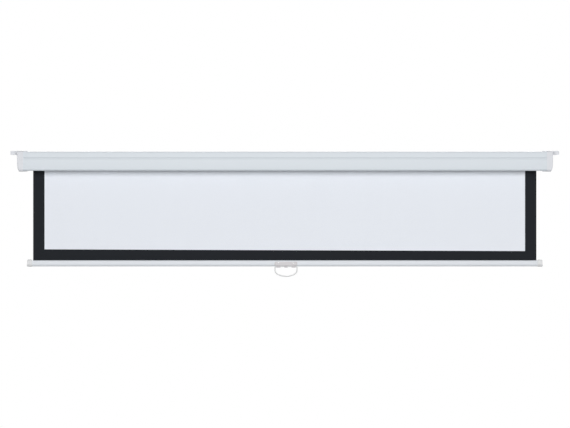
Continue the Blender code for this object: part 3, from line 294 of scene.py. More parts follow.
def loft(name, sections, finish, spot, turn):
    # a solid through (height, loop) sections that have as many points each
    shape = bmesh.new()
    rings = [[shape.verts.new((across, up, height)) for across, up in loop] for height, loop in sections]
    shape.faces.new(rings[0])
    shape.faces.new(rings[-1])
    for low, high in zip(rings, rings[1:]):
        for i in range(len(low)):
            shape.faces.new((low[i - 1], low[i], high[i], high[i - 1]))
    return addPiece(name, shape, finish, spot, turn)


def slab(name, loop, thickness, spot, turn, finish="capPlastic"):
    return loft(name, [(-thickness / 2, loop), (thickness / 2, loop)], finish, spot, turn)


def block(name, low, high):
    loop = [(low[0], low[1]), (high[0], low[1]), (high[0], high[1]), (low[0], high[1])]
    return loft(name, [(low[2], loop), (high[2], loop)], "capPlastic", (0, 0, 0), upright)


def turned(name, profile, finish, spot, turn, steps=32):
    # (radius, height) pairs from the tip on the axis round to the foot on the axis
    shape = bmesh.new()
    ends = [shape.verts.new((0, 0, profile[i][1])) for i in (0, -1)]
    rings = [[shape.verts.new((r * math.cos(a), r * math.sin(a), h))
              for a in evenly(math.tau, steps)[:-1]] for r, h in profile[1:-1]]
    for k in range(steps):
        shape.faces.new((ends[0], rings[0][k], rings[0][k - 1]))
        shape.faces.new((ends[1], rings[-1][k], rings[-1][k - 1]))
        for low, high in zip(rings, rings[1:]):
            shape.faces.new((low[k], low[k - 1], high[k - 1], high[k]))
    return addPiece(name, shape, finish, spot, turn)


def bar(name, radius, start, end, spot, turn, steps=32, finish="capPlastic"):
    profile = [(0, start), (radius, start), (radius, end), (0, end)]
    return turned(name, profile, finish, spot, turn, steps)


def combine(target, tool, operation):
    step = target.modifiers.new(operation, "BOOLEAN")
    step.operation = operation
    step.solver = "MANIFOLD"
    step.object = tool
    bpy.context.view_layer.update()
    seen = target.evaluated_get(bpy.context.evaluated_depsgraph_get())
    target.data = bpy.data.meshes.new_from_object(seen)
    target.modifiers.clear()
    bpy.data.objects.remove(tool)


def softened(piece, width):
    # small rounds on the edges that the form leaves sharp, and flat faces that stay flat in the light
    shadeSmooth(piece.data)
    shape = bmesh.new()
    shape.from_mesh(piece.data)
    bmesh.ops.dissolve_limit(shape, angle_limit=math.radians(flatAngle), verts=shape.verts,
                             edges=shape.edges)
    shape.to_mesh(piece.data)
    shape.free()
    step = piece.modifiers.new("edges", "BEVEL")
    step.width = width
    step.segments = 2
    step.limit_method = "ANGLE"
    step.angle_limit = math.radians(edgeAngle)
    step.use_clamp_overlap = True
    step = piece.modifiers.new("normals", "WEIGHTED_NORMAL")
    step.keep_sharp = True


def finished(piece, body, node):
    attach(piece, body)
    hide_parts(node)


case = dict(
    half=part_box("case_shell")[1].x, top=0.035, bottom=-0.035, depth=0.070, wall=0.0012,
    topDepth=0.0645, topRadius=0.003, bandHeight=0.0195, lean=0.0025, nose=0.006,
    grooveDepth=0.0011, grooveDrop=0.0047, grooveHeight=0.0100, grooveRadius=0.0008,
    grooveFootRadius=0.0015, slotWidth=0.016, hemHeight=0.005, hemRadius=0.0015,
    backRadius=0.0015)
splineLow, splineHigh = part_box("fabric_spline")
fabricY = (splineLow.y + splineHigh.y) / 2
slotFront = fabricY - case["slotWidth"] / 2


def frontCorners():
    # over the top, down the upper band and the main face to the rounded nose, and back under
    return [(0, case["top"], 0),
            (-case["topDepth"], case["top"], case["topRadius"]),
            (-(case["depth"] - case["lean"]), case["top"] - case["bandHeight"], 0),
            (-case["depth"], case["bottom"], case["nose"]),
            (0, case["bottom"], 0)]


def grooveCorners():
    # the shallow V between the upper band and the main face
    lip, nose = (Vector(corner[:2]) for corner in frontCorners()[2:4])
    down = (nose - lip).normalized()
    inward = Vector((-down.y, down.x))
    deep = lip + down * case["grooveDrop"] + inward * case["grooveDepth"]
    foot = lip + down * case["grooveHeight"]
    return [(*lip, case["grooveRadius"]), (*deep, case["grooveRadius"]),
            (*foot, case["grooveFootRadius"])]


def makeCase():
    slotRear = slotFront + case["slotWidth"]
    hemTop = case["bottom"] + case["hemHeight"]
    corners = [(slotRear, hemTop, 0), (slotRear, case["bottom"], case["hemRadius"]),
               (0, case["bottom"], case["backRadius"]), (0, case["top"], case["backRadius"]),
               (-case["topDepth"], case["top"], case["topRadius"]), *grooveCorners(),
               (-case["depth"], case["bottom"], case["nose"]),
               (slotFront, case["bottom"], case["hemRadius"]), (slotFront, hemTop, 0)]
    outer = roundedPath(corners)
    inner = roundedPath(outset(corners, -case["wall"]))
    shell = wallOf("caseShell", outer, inner, [-case["half"], 0, case["half"]], "casePaint")
    finished(shell, "case", "case_shell")


makeCase()
print("case made")


# an end cap has a sleeve over the case, a drafted end wall, an ear and two tongues
cap = dict(
    wall=0.0027, sleeve=0.0155, endTop=0.0070, draft=0.0015, draftStart=0.003, round=0.0025,
    endGap=0.0005, curveAlong=0.009, curveRise=0.028, curveSteps=16, cornerSteps=12,
    tongueLength=0.016, tongueWidth=0.028, tongueFromWall=0.010, tongueRadius=0.008,
    lowTongueFromSlot=0.005, step=0.00015, edge=0.0005, softEdge=0.0004)
ear = dict(
    reach=0.0235, height=0.0145, depth=0.036, topWall=0.0036, rearWall=0.004, skirt=0.003,
    tipRadius=0.003, footRadius=0.0035, cornerSteps=6, holeRadius=0.0032, holeFromWall=0.019,
    keyRadius=0.0034, keySlot=0.0036, keyRise=0.0048, keyDrop=0.0104, keySteps=24, slotSteps=10)
# the top screws are countersunk, and the end screws' domed heads sit in seats in the end wall
screw = dict(
    radius=0.0018, head=0.0036, length=0.0085, rimIn=0.0003, rimDrop=0.0002, point=0.001,
    crossSize=0.0042, crossDepth=0.0011, crossArm=0.28,
    endRadius=0.0015, endHead=0.0032, endHeadHeight=0.0018, endRim=0.45, endDome=0.55,
    domeSteps=6, holeSteps=24, endSeat=0.0035, endPlate=0.0022, endPast=0.0018,
    endCrossSize=0.0036, endCrossDepth=0.0012,
    endSpots={"upper": (-0.051, 0.014), "lower": (-0.013, -0.017)})
capInner = case["half"] + cap["endGap"]
capOuter = capInner + cap["endTop"]
capTop = case["top"] + gap + cap["wall"]
earMiddle = capOuter + ear["reach"] / 2


def capOutline(past, rise):
    # the case's skin set out, drawn in by the small round past its start, its foot risen
    drawnIn = cap["round"] - math.sqrt(cap["round"] ** 2 - max(past, 0) ** 2)
    corners = outset(frontCorners(), gap + cap["wall"] - drawnIn)
    lip, nose, foot = corners[2:]
    up = rise - drawnIn
    share = 1 - up / (lip[1] - nose[1])
    corners[3] = (lip[0] + share * (nose[0] - lip[0]), nose[1] + up, nose[2])
    corners[4] = (foot[0], foot[1] + up, 0)
    return roundedPath(corners, cap["cornerSteps"])


def capBody(side, name):
    mouth = case["half"] - cap["sleeve"]
    thin = outset(frontCorners(), gap + cap["wall"] - cap["edge"])
    sections = [(mouth, roundedPath(thin, cap["cornerSteps"])), (mouth + cap["edge"], capOutline(0, 0))]
    for a in evenly(quarterTurn, cap["curveSteps"]):
        along = cap["curveAlong"] * math.sin(a)
        sections.append((capOuter - cap["curveAlong"] + along,
                         capOutline(along - cap["curveAlong"] + cap["round"],
                                    cap["curveRise"] * (1 - math.cos(a)))))
    body = loft("endCap_" + name, sections, "capPlastic", (0, 0, 0), alongX)
    for v in body.data.vertices:
        share = min(1, max(0, (v.co.z - capOuter + cap["curveAlong"]) / cap["draftStart"]))
        v.co.z -= share * cap["draft"] * (capTop - v.co.y) / (2 * capTop)
    if side < 0:
        body.data.transform(Matrix.Diagonal((1, 1, -1, 1)))
        body.data.flip_normals()
    return body


def earBlock(side):
    root, tip = capInner + cap["endTop"] / 3, capOuter + ear["reach"]
    top, low, foot = capTop + cap["step"], capTop - ear["height"], capOuter - cap["draft"] / 3
    corners = [(root, top, 0), (tip, top, ear["tipRadius"]), (tip, low, ear["footRadius"]),
               (foot, low, ear["footRadius"]), (foot, low - ear["height"] / 2, 0),
               (root, low - ear["height"] / 2, 0)]
    loop = [(side * x, z) for x, z in roundedPath(corners, ear["cornerSteps"], True)]
    return slab("ear", loop, ear["depth"] - cap["step"], (0, -(ear["depth"] + cap["step"]) / 2, 0),
                facingFront)


def tongueBlock(side, rear, face):
    front = rear - cap["tongueWidth"]
    root = case["half"] - cap["sleeve"] / 2
    tip = case["half"] - cap["sleeve"] - cap["tongueLength"]
    corners = [(root, rear, 0), (tip, rear, cap["tongueRadius"]), (tip, front, cap["tongueRadius"]),
               (root, front, 0)]
    loop = [(side * x, y) for x, y in roundedPath(corners, closed=True)]
    return slab("tongue", loop, 2 * cap["wall"], (0, 0, face * (capTop - cap["step"] - cap["wall"])),
                upright)


def keyhole(side):
    # the round for a screw's head, and the slot above it for the shank
    x, z = side * earMiddle, capTop - ear["keyDrop"]
    meet = math.asin(ear["keySlot"] / 2 / ear["keyRadius"])
    big = [quarterTurn + meet + a for a in evenly(math.tau - 2 * meet, ear["keySteps"])]
    small = evenly(math.pi, ear["slotSteps"])
    return ([(x + ear["keyRadius"] * math.cos(a), z + ear["keyRadius"] * math.sin(a)) for a in big]
            + [(x + ear["keySlot"] / 2 * math.cos(a),
                z + ear["keyRise"] + ear["keySlot"] / 2 * math.sin(a)) for a in small])


def topScrewSpot(side):
    return Vector((side * (case["half"] - cap["sleeve"] - cap["tongueLength"] / 2),
                   -(cap["tongueFromWall"] + cap["tongueWidth"] / 2), case["top"]))


def capCutters(side):
    # the room for the case, the ear's pocket and two holes, and what the screws need
    hollow = roundedPath(outset(frontCorners(), gap))
    hollow[0], hollow[-1] = (over, hollow[0][1]), (over, hollow[-1][1])
    deep = cap["sleeve"] + cap["tongueLength"] + cap["endGap"] + over
    left, right = sorted((side * (capOuter + ear["skirt"]),
                          side * (capOuter + ear["reach"] - ear["skirt"])))
    face = cap["wall"]
    wide, narrow = screw["head"] + gap, screw["radius"] + gap
    sink = [(0, face + over), (wide, face + over), (wide, face),
            (narrow, face - (screw["head"] - screw["radius"])), (narrow, -4 * over), (0, -4 * over)]
    cutters = [
        slab("hollow", hollow, deep, (side * (capInner - deep / 2), 0, 0), alongX),
        block("pocket", (left, -(ear["depth"] - ear["skirt"]), capTop - 2 * ear["height"]),
              (right, -ear["rearWall"], capTop - ear["topWall"])),
        slab("keyhole", keyhole(side), ear["rearWall"] + 2 * over, (0, -ear["rearWall"] / 2, 0),
             facingFront),
        bar("earHole", ear["holeRadius"], 0, 3 * ear["topWall"],
            (side * earMiddle, -ear["holeFromWall"], capTop - 2 * ear["topWall"]), upright),
        turned("sink", sink, "capPlastic", topScrewSpot(side), upright)]
    for y, z in screw["endSpots"].values():
        cutters += [bar("hole", screw["endRadius"] + gap, capInner - over, capOuter,
                        (0, y, z), outwards[side], screw["holeSteps"]),
                    bar("seat", screw["endHead"] + 2 * gap, capInner + screw["endSeat"],
                        capOuter + over, (0, y, z), outwards[side], screw["holeSteps"])]
    return cutters


def makeEndCap(side, name):
    piece = capBody(side, name)
    for added in (earBlock(side), tongueBlock(side, -cap["tongueFromWall"], 1),
                  tongueBlock(side, slotFront - cap["lowTongueFromSlot"], -1)):
        combine(piece, added, "UNION")
    for tool in capCutters(side):
        combine(piece, tool, "DIFFERENCE")
    softened(piece, cap["softEdge"])
    finished(piece, "case", "end_cap_" + name)


def crossRecess(piece, spot, turn, size, depth, top):
    # a cross for a screwdriver, cut in a head
    arm = size * screw["crossArm"]
    for wide, narrow in ((size, arm), (arm, size)):
        tool = block("arm", (-wide / 2, -narrow / 2, top - depth),
                     (wide / 2, narrow / 2, top + 2 * over))
        tool.matrix_world = Matrix.Translation(spot) @ turn.to_4x4()
        combine(piece, tool, "DIFFERENCE")
    shadeSmooth(piece.data)


def makeScrews(side, name):
    head = cap["wall"]
    cone = screw["head"] - screw["radius"]
    top = turned("topScrew_" + name,
                 [(0, head), (screw["head"] - screw["rimIn"], head),
                  (screw["head"], head - screw["rimDrop"]), (screw["radius"], head - cone),
                  (screw["radius"], -screw["length"] + screw["point"]),
                  (screw["radius"] / 2, -screw["length"]), (0, -screw["length"])],
                 "screwSteel", topScrewSpot(side), upright)
    crossRecess(top, topScrewSpot(side), upright, screw["crossSize"], screw["crossDepth"], head)
    finished(top, "case", "top_screw_" + name)
    seat = capInner + screw["endSeat"] + gap
    tip = case["half"] - gap - screw["endPlate"] - screw["endPast"]
    for level, (y, z) in screw["endSpots"].items():
        dome = [(screw["endHead"] * math.sin(a),
                 seat + screw["endHeadHeight"] * (screw["endRim"] + screw["endDome"] * math.cos(a)))
                for a in evenly(quarterTurn, screw["domeSteps"])]
        end = turned("endScrew_" + name + "_" + level,
                     dome + [(screw["endHead"], seat), (screw["endRadius"], seat),
                             (screw["endRadius"], tip + screw["point"]),
                             (screw["endRadius"] / 2, tip), (0, tip)],
                     "screwSteel", (0, y, z), outwards[side])
        crossRecess(end, (0, y, z), outwards[side], screw["endCrossSize"], screw["endCrossDepth"],
                    seat + screw["endHeadHeight"])
        finished(end, "case", "end_screw_" + name + "_" + level)


for side, name in sides:
    makeEndCap(side, name)
    makeScrews(side, name)
print("end caps and screws made")


# each wave is (height, radians a metre across, radians a metre down, start), in ripples, and offPlane
# holds the lot behind the sheet's plane
cloth = dict(
    half=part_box("screen_fabric")[1].x, whiteHalf=0.8846, thickness=0.00042, hungLength=0.385,
    columns=48, whiteRows=44, borderRows=6, bendRows=6, loopRows=32,
    ripple=0.0003, offPlane=3.6, waves=((1, 5.1, 0, 0.6), (0.5, 11.3, 9, 0)), calmNear=0.05,
    borderTop=-0.3272, borderSlope=-0.0034, hemBend=0.0006, hemGap=0.0006,
    rollTurns=7, turnRows=64, pitch=0.00087, rollerY=-0.038, tubeRadius=0.016)
slat = dict(
    half=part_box("slat")[1].x, top=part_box("slat")[1].z, depth=0.020, height=0.0224,
    wall=0.0012, mouth=0.0032, topRadius=0.005, bottomRadius=0.0098, cornerSteps=10,
    groove=0.0006, grooveDrop=0.0062, grooveEdge=0.0004, grooveFoot=0.0003)


def clothGrid(name, columns, rows, isWhite):
    # each row gives its (y, z) and its normal's (y, z) at a column's x
    shape = bmesh.new()
    half = cloth["thickness"] / 2
    front, back = [], []
    for x in columns:
        line = [row(x) for row in rows]
        front.append([shape.verts.new((x, y - ny * half, z - nz * half)) for y, z, ny, nz in line])
        back.append([shape.verts.new((x, y + ny * half, z + nz * half)) for y, z, ny, nz in line])

    def addFace(*corners, white=False):
        shape.faces.new(corners).material_index = 0 if white else 1

    for i in range(len(columns) - 1):
        middle = (columns[i] + columns[i + 1]) / 2
        for j in range(len(rows) - 1):
            addFace(front[i][j], front[i + 1][j], front[i + 1][j + 1], front[i][j + 1],
                    white=isWhite(middle, j))
            addFace(back[i][j], back[i][j + 1], back[i + 1][j + 1], back[i + 1][j])
        for j in (0, -1):
            addFace(front[i][j], back[i][j], back[i + 1][j], front[i + 1][j])
    for i in (0, -1):
        for j in range(len(rows) - 1):
            addFace(front[i][j], front[i][j + 1], back[i][j + 1], back[i][j])
    return addPiece(name, shape, ["sheetWhite", "sheetBlack"], sharp=50)


def makeSheet():
    edges = [-cloth["half"], -cloth["whiteHalf"], cloth["whiteHalf"], cloth["half"]]
    inner = [edges[1] + across for across in evenly(edges[2] - edges[1], cloth["columns"])[1:-1]]
    columns = sorted(edges + inner + [(edges[0] + edges[1]) / 2, (edges[2] + edges[3]) / 2])
    splineZ = (splineLow.z + splineHigh.z) / 2
    radius = (splineHigh.z - splineLow.z) / 2 + gap + cloth["thickness"] / 2
    bend = cloth["hemBend"]
    rise = math.sqrt(radius ** 2 + 2 * radius * bend)      # of the bend's start over the spline's middle

    def hanging(share, below):
        # share of the way down the white part, or of the black border below it
        def at(x):
            border = cloth["borderTop"] + cloth["borderSlope"] * x / cloth["half"]
            foot = splineZ + rise
            z = border + (foot - border) * share if below else border * share
            calm = min(1, max(0, (z - slat["top"]) / cloth["calmNear"]), max(0, -z / cloth["calmNear"]))
            # waves on the wall's side only, so that the sheet stays clear of the roll as it goes in
            swell = sum((part * math.sin(across * x + down * z + start)
                         for part, across, down, start in cloth["waves"]), cloth["offPlane"])
            return fabricY + cloth["ripple"] * calm * swell, z, 1, 0
        return at

    def bent(angle):
        # forwards from the hanging sheet on to the loop round the spline
        return lambda x: (fabricY - bend + bend * math.cos(angle),
                          splineZ + rise + bend * math.sin(angle), math.cos(angle), math.sin(angle))

    def looped(angle):
        return lambda x: (fabricY + radius * math.cos(angle), splineZ + radius * math.sin(angle),
                          -math.cos(angle), -math.sin(angle))

    rows = [hanging(share, False) for share in evenly(1, cloth["whiteRows"])]
    rows += [hanging(share, True) for share in evenly(1, cloth["borderRows"])[1:-1]]
    lean = math.atan2(rise, bend)
    rows += [bent(-angle) for angle in evenly(lean, cloth["bendRows"])]
    start = math.pi - lean
    end = quarterTurn + math.tau - (cloth["hemGap"] + cloth["thickness"]) / radius
    rows += [looped(start + angle) for angle in evenly(end - start, cloth["loopRows"])[1:]]
    sheet = clothGrid("screenSheet", columns, rows,
                      lambda x, j: abs(x) < cloth["whiteHalf"] and j < cloth["whiteRows"])
    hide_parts("screen_fabric")
    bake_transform(sheet)


def makeRoll():
    edges = [-cloth["half"], -cloth["whiteHalf"], 0, cloth["whiteHalf"], cloth["half"]]
    turns, pitch = cloth["rollTurns"], cloth["pitch"]
    first = cloth["tubeRadius"] + gap + turns * pitch + cloth["thickness"] / 2

    def wound(turn):
        r, a = first - pitch * turn, math.tau * turn
        return lambda x: (cloth["rollerY"] + r * math.cos(a), r * math.sin(a), math.cos(a), math.sin(a))

    rows = [wound(turn) for turn in evenly(turns, turns * cloth["turnRows"])]
    roll = clothGrid("woundSheet", edges, rows, lambda x, j: abs(x) < cloth["whiteHalf"])
    finished(roll, "roller", "fabric_roll")


makeSheet()
makeRoll()
print("cloth made")


knob = dict(
    wall=0.0031, side=0.0018, sleeve=0.0155, rise=0.0033, fall=0.0012, round=0.0022,
    lip=0.0012, waistDrop=0.0155, innerRadius=0.0035, lowRadius=0.0050, waistRadius=0.0030,
    stepRadius=0.0003, lipRadius=0.0005, highRadius=0.0062, crown=0.0065, belly=0.0112,
    roundSteps=6, profileSteps=10, softEdge=0.0003)


def slatCorners():
    half, mouth, groove = slat["depth"] / 2, slat["mouth"] / 2, -slat["grooveDrop"]
    return [(-mouth, 0, 0), (-half, 0, slat["topRadius"]),
            (-half, groove + slat["groove"], slat["grooveEdge"]),
            (-half + slat["groove"], groove, slat["grooveFoot"]),
            (-half, groove - slat["groove"], slat["grooveEdge"]),
            (-half, -slat["height"], slat["bottomRadius"]),
            (half, -slat["height"], slat["bottomRadius"]),
            (half, 0, slat["topRadius"]), (mouth, 0, 0)]


def makeSlat():
    corners = slatCorners()
    outer = roundedPath(corners, slat["cornerSteps"])
    inner = roundedPath(outset(corners, -slat["wall"]), slat["cornerSteps"])
    piece = wallOf("slatBar", outer, inner, [-slat["half"], 0, slat["half"]], "slatPaint",
                   (0, fabricY, slat["top"]))
    finished(piece, "slat", "slat")


def makeKnob(side, name):
    inner, outer = side * (slat["half"] - knob["sleeve"]), side * (slat["half"] + knob["wall"])
    lowerOuter = outer + side * knob["lip"]
    top, bottom = slat["top"] + knob["rise"], slat["top"] - slat["height"] - knob["fall"]
    waist = top - knob["waistDrop"]
    corners = [(inner, bottom, knob["innerRadius"]), (lowerOuter, bottom, knob["lowRadius"]),
               (lowerOuter, waist, knob["waistRadius"]),
               (outer - side * knob["lip"], waist, knob["stepRadius"]),
               (outer, waist + knob["lip"], knob["lipRadius"]), (outer, top, knob["highRadius"]),
               (inner, top, knob["innerRadius"])][::side]
    half = slat["depth"] / 2 + knob["side"]
    rounding = [(knob["round"] * (1 - math.cos(a)), knob["round"] * math.sin(a))
                for a in evenly(quarterTurn, knob["roundSteps"])]
    depths = ([(-(half - knob["round"] + along), drawn) for drawn, along in reversed(rounding)]
              + [(half - knob["round"] + along, drawn) for drawn, along in rounding])
    piece = loft("slatKnob_" + name,
                 [(depth, roundedPath(outset(corners, -drawn, True), closed=True))
                  for depth, drawn in depths],
                 "knobPlastic", (0, fabricY, 0), facingFront)
    # seen from the end it is round below, as the slat is
    profile = [(half, top, knob["crown"]), (-half, top, knob["crown"]),
               (-half, bottom, knob["belly"]), (half, bottom, knob["belly"])]
    trim = slab("profile", roundedPath(profile, knob["profileSteps"], True), 4 * knob["sleeve"],
                (side * slat["half"], fabricY, 0), alongX)
    combine(piece, trim, "INTERSECT")
    halfSlat = slat["depth"] / 2
    section = [(halfSlat, 0, slat["topRadius"]), (-halfSlat, 0, slat["topRadius"]),
               (-halfSlat, -slat["height"], slat["bottomRadius"]),
               (halfSlat, -slat["height"], slat["bottomRadius"])]
    deep = knob["sleeve"] + gap + over
    socket = slab("socket", roundedPath(outset(section, gap, True), closed=True), deep,
                  (side * (slat["half"] + gap - deep / 2), fabricY, slat["top"]), alongX)
    combine(piece, socket, "DIFFERENCE")
    softened(piece, knob["softEdge"])
    finished(piece, "slat", "slat_cap_" + name)


makeSlat()
for side, name in sides:
    makeKnob(side, name)
print("slat made")


clip = dict(
    x=0.004, half=0.042, thickness=0.0015, topDrop=0.005, corner=0.004, fillet=0.001,
    scallop=0.003, step=0.0004, wall=0.0014, softEdge=0.0003, cornerSteps=5, holeSteps=24,
    knuckleSteps=36, knuckles=((-0.0360, -0.0205), (-0.006, 0.006), (0.0205, 0.0360)))
ring = dict(
    wire=0.0022, half=0.0405, rail=0.020, leg=0.0145, swell=0.0215, corner=0.004, drop=0.0002,
    cornerSteps=8, swellSteps=64, wireSteps=6)
rivet = dict(
    radius=0.0016, head=0.0030, dome=0.0012, domeSteps=8, apart=0.027, drop=0.0105, past=0.0025,
    chamfer=0.0003)
slatFront = fabricY - slat["depth"] / 2
ringY = slatFront - gap - clip["thickness"]
ringZ = slat["top"] - slat["height"] - ring["drop"]
knuckleRadius = ring["wire"] + gap + clip["wall"]


def clipLoop():
    top = slat["top"] - clip["topDrop"]
    overLeg, scallop = ringZ + knuckleRadius + gap, ringZ + clip["scallop"]
    corners = [(-clip["half"], top, clip["corner"]), (-clip["half"], overLeg, clip["fillet"])]
    last = len(clip["knuckles"]) - 1
    for i, (left, right) in enumerate(clip["knuckles"]):
        left, right = left + clip["step"], right - clip["step"]
        corners += [(left, overLeg if i == 0 else scallop, clip["fillet"]), (left, ringZ, 0),
                    (right, ringZ, 0), (right, overLeg if i == last else scallop, clip["fillet"])]
    corners += [(clip["half"], overLeg, clip["fillet"]), (clip["half"], top, clip["corner"])]
    return roundedPath(corners, clip["cornerSteps"], True)


def makeClip():
    middleY = slatFront - gap - clip["thickness"] / 2
    onRing = (clip["x"], ringY, ringZ)
    piece = slab("handleClip", clipLoop(), clip["thickness"], (clip["x"], middleY, 0), facingFront,
                 "clipPlastic")
    for hand, _ in sides:
        hole = bar("hole", rivet["radius"] + gap, -clip["thickness"], clip["thickness"],
                   (clip["x"] + hand * rivet["apart"], middleY, slat["top"] - rivet["drop"]),
                   facingFront, clip["holeSteps"], "clipPlastic")
        combine(piece, hole, "DIFFERENCE")
    for left, right in clip["knuckles"]:
        knuckle = bar("knuckle", knuckleRadius, left, right, onRing, alongX, clip["knuckleSteps"],
                      "clipPlastic")
        combine(piece, knuckle, "UNION")
    bore = bar("bore", ring["wire"] + gap, -2 * clip["half"], 2 * clip["half"], onRing, alongX,
               clip["knuckleSteps"], "clipPlastic")
    combine(piece, bore, "DIFFERENCE")
    softened(piece, clip["softEdge"])
    finished(piece, "slat", "handle_clip")


def makeRivet(hand, name):
    face = clip["thickness"] + 2 * gap
    foot = -(slat["wall"] + rivet["past"])
    dome = [(rivet["head"] * math.sin(a), face + rivet["dome"] * math.cos(a))
            for a in evenly(quarterTurn, rivet["domeSteps"])]
    spot = (clip["x"] + hand * rivet["apart"], slatFront, slat["top"] - rivet["drop"])
    piece = turned("clipRivet_" + name,
                   dome + [(rivet["radius"], face), (rivet["radius"], foot + rivet["chamfer"]),
                           (rivet["radius"] - rivet["chamfer"], foot), (0, foot)],
                   "screwSteel", spot, facingFront)
    finished(piece, "slat", "clip_rivet_" + name)


def makeRing():
    corner = [(ring["half"] - ring["corner"] * (1 - math.sin(a)), -ring["corner"] * (1 - math.cos(a)))
              for a in evenly(quarterTurn, ring["cornerSteps"])]
    swell = [(ring["half"] * math.cos(a), -ring["leg"] - ring["swell"] * math.sin(a))
             for a in evenly(math.pi, ring["swellSteps"])]
    path = ([(x, 0.0) for x in (-ring["rail"], 0.0, ring["rail"])] + corner + swell
            + [(-x, z) for x, z in reversed(corner)])
    curve = bpy.data.curves.new("pullRing", "CURVE")
    curve.dimensions = "3D"
    curve.bevel_depth = ring["wire"]
    curve.bevel_resolution = ring["wireSteps"]
    line = curve.splines.new("POLY")
    line.points.add(len(path) - 1)
    for point, (x, z) in zip(line.points, path):
        point.co = (x, 0, z, 1)
    line.use_cyclic_u = True
    drawn = bpy.data.objects.new("ringLine", curve)
    bpy.context.scene.collection.objects.link(drawn)
    bpy.context.view_layer.update()
    seen = drawn.evaluated_get(bpy.context.evaluated_depsgraph_get())
    data = bpy.data.meshes.new_from_object(seen)
    bpy.data.objects.remove(drawn)
    data.materials.clear()
    piece = addPiece("pullRing", data, "ringPlastic", (clip["x"], ringY, ringZ))
    finished(piece, "handle", "handle_ring")


makeClip()
for hand, name in sides:
    makeRivet(hand, name)
makeRing()
print("clip and ring made")


innerFinishes = {
    "platedSteel": ["roller_bracket_left", "roller_bracket_right", "spring_arbor", "ratchet_wheel",
                    "spring_collar", "roller_tube", "pawl_pin_a", "pawl_pin_b", "idle_pin", "pawl_a",
                    "pawl_b"],
    "springSteel": ["torsion_spring"],
    "brass": ["idle_bush"],
    "nylon": ["ratchet_head", "spring_anchor", "idle_plug", "fabric_spline"],
}
for finish, nodes in innerFinishes.items():
    for node in nodes:
        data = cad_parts[node].data
        data.materials.clear()
        data.materials.append(materials[finish])
print("inner pieces finished")


studio = dict(
    floorZ=-1.72, floorHalf=3.2, floorColour=(0.70, 0.70, 0.70), floorShade=0.985, floorClouds=3.0,
    floorRoughness=0.9, floorGlow=0.6, surround=0.15, lampAim=(0, 0, -0.15),
    keyPower=508, keySize=(6.0, 3.6), keySpot=(0.0, -8.0, 1.65),
    backPower=100, backSize=(3.4, 1.6), backSpot=(0.6, 3.0, 1.6),
    sidePower=50, sideSize=(2.0, 2.0), sideSpot=(5.0, -0.2, 0.0))
shot = dict(distance=60, azimuth=-0.9, height=-0.194, aim=(0.0006, -0.0147), width=2.0985,
            sensor=36, clip=(0.1, 100))


def makeFloor():
    half = studio["floorHalf"]
    sheet = bpy.data.meshes.new("floor")
    sheet.from_pydata([(x, y, studio["floorZ"])
                       for x, y in ((-half, -half), (half, -half), (half, half), (-half, half))],
                      [], [(0, 1, 2, 3)])
    paper = bpy.data.materials.new("floorPaper")
    paper.use_nodes = True
    tree = paper.node_tree
    shader = tree.nodes["Principled BSDF"]
    place = addNode(tree, "ShaderNodeTexCoord").outputs["Object"]
    noise = addNode(tree, "ShaderNodeTexNoise", [("Vector", place)], in_Scale=studio["floorClouds"],
                    in_Detail=texture["grainDetail"])
    colour = mixColours(tree, noise.outputs["Fac"], studio["floorColour"],
                        shaded(studio["floorColour"], studio["floorShade"]))
    tree.links.new(colour, shader.inputs["Base Color"])
    shader.inputs["Roughness"].default_value = studio["floorRoughness"]
    # part of its paleness is its own for the camera, so that the floor fades into the white round it
    seen = addNode(tree, "ShaderNodeLightPath").outputs["Is Camera Ray"]
    share = addNode(tree, "ShaderNodeMath", [(0, seen)], operation="MULTIPLY")
    share.inputs[1].default_value = studio["floorGlow"]
    glow = addNode(tree, "ShaderNodeEmission", in_Color=(1, 1, 1, 1), in_Strength=1.0)
    both = addNode(tree, "ShaderNodeMixShader", [(0, share.outputs[0]), (1, shader.outputs[0]),
                                                 (2, glow.outputs[0])])
    # from below one looks through it at the object's underside
    below = addNode(tree, "ShaderNodeNewGeometry").outputs["Backfacing"]
    clear = addNode(tree, "ShaderNodeBsdfTransparent")
    sided = addNode(tree, "ShaderNodeMixShader", [(0, below), (1, both.outputs[0]),
                                                  (2, clear.outputs[0])])
    tree.links.new(sided.outputs[0], tree.nodes["Material Output"].inputs["Surface"])
    materials["floorPaper"] = paper
    addPiece("floor", sheet, "floorPaper")


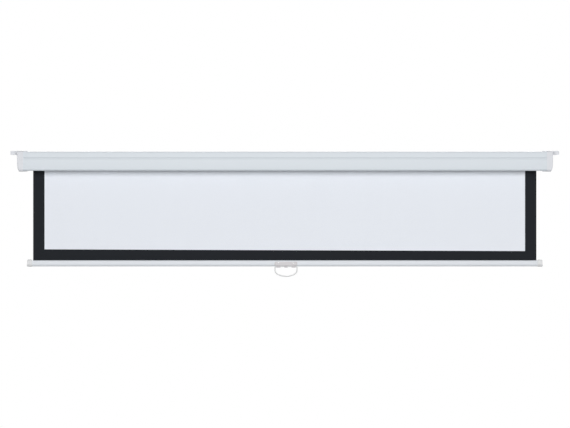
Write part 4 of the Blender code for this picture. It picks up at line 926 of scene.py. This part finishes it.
def makeWorld():
    # white to look at, but a weak light
    world = bpy.data.worlds.new("studio")
    bpy.context.scene.world = world
    world.use_nodes = True
    tree = world.node_tree
    tree.nodes.clear()
    rays = addNode(tree, "ShaderNodeLightPath").outputs
    seen = rays["Is Camera Ray"]
    for kind in ("Is Glossy Ray", "Is Transmission Ray"):
        seen = addNode(tree, "ShaderNodeMath", [(0, seen), (1, rays[kind])],
                       operation="MAXIMUM").outputs[0]
    light, white = (addNode(tree, "ShaderNodeBackground", in_Color=(1, 1, 1, 1), in_Strength=strength)
                    for strength in (studio["surround"], 1.0))
    both = addNode(tree, "ShaderNodeMixShader", [(0, seen), (1, light.outputs[0]),
                                                 (2, white.outputs[0])])
    addNode(tree, "ShaderNodeOutputWorld", [("Surface", both.outputs[0])])


def addLamp(name, spot, size, power):
    lamp = bpy.data.lights.new(name, "AREA")
    lamp.shape = "RECTANGLE"
    lamp.size, lamp.size_y = size
    lamp.energy = power
    holder = bpy.data.objects.new(name, lamp)
    bpy.context.scene.collection.objects.link(holder)
    holder.location = spot
    view = Vector(studio["lampAim"]) - Vector(spot)
    holder.rotation_euler = view.to_track_quat("-Z", "Y").to_euler()
    holder.visible_camera = False


def makeCamera():
    lens = bpy.data.cameras.new("camera")
    lens.sensor_width = shot["sensor"]
    lens.lens = shot["sensor"] * shot["distance"] / shot["width"]
    lens.clip_start, lens.clip_end = shot["clip"]
    holder = bpy.data.objects.new("camera", lens)
    bpy.context.scene.collection.objects.link(holder)
    turn = math.radians(shot["azimuth"])
    aim = Vector((*shot["aim"], shot["height"]))
    back = Vector((math.sin(turn), -math.cos(turn), 0))
    holder.location = aim + back * shot["distance"]
    holder.rotation_euler = (-back).to_track_quat("-Z", "Y").to_euler()
    bpy.context.scene.camera = holder


makeFloor()
makeWorld()
addLamp("key", studio["keySpot"], studio["keySize"], studio["keyPower"])
addLamp("back", studio["backSpot"], studio["backSize"], studio["backPower"])
for side, name in sides:
    addLamp(name, (side * studio["sideSpot"][0], *studio["sideSpot"][1:]), studio["sideSize"],
            studio["sidePower"])
makeCamera()
bpy.context.scene.view_settings.view_transform = "Standard"
print("studio made")
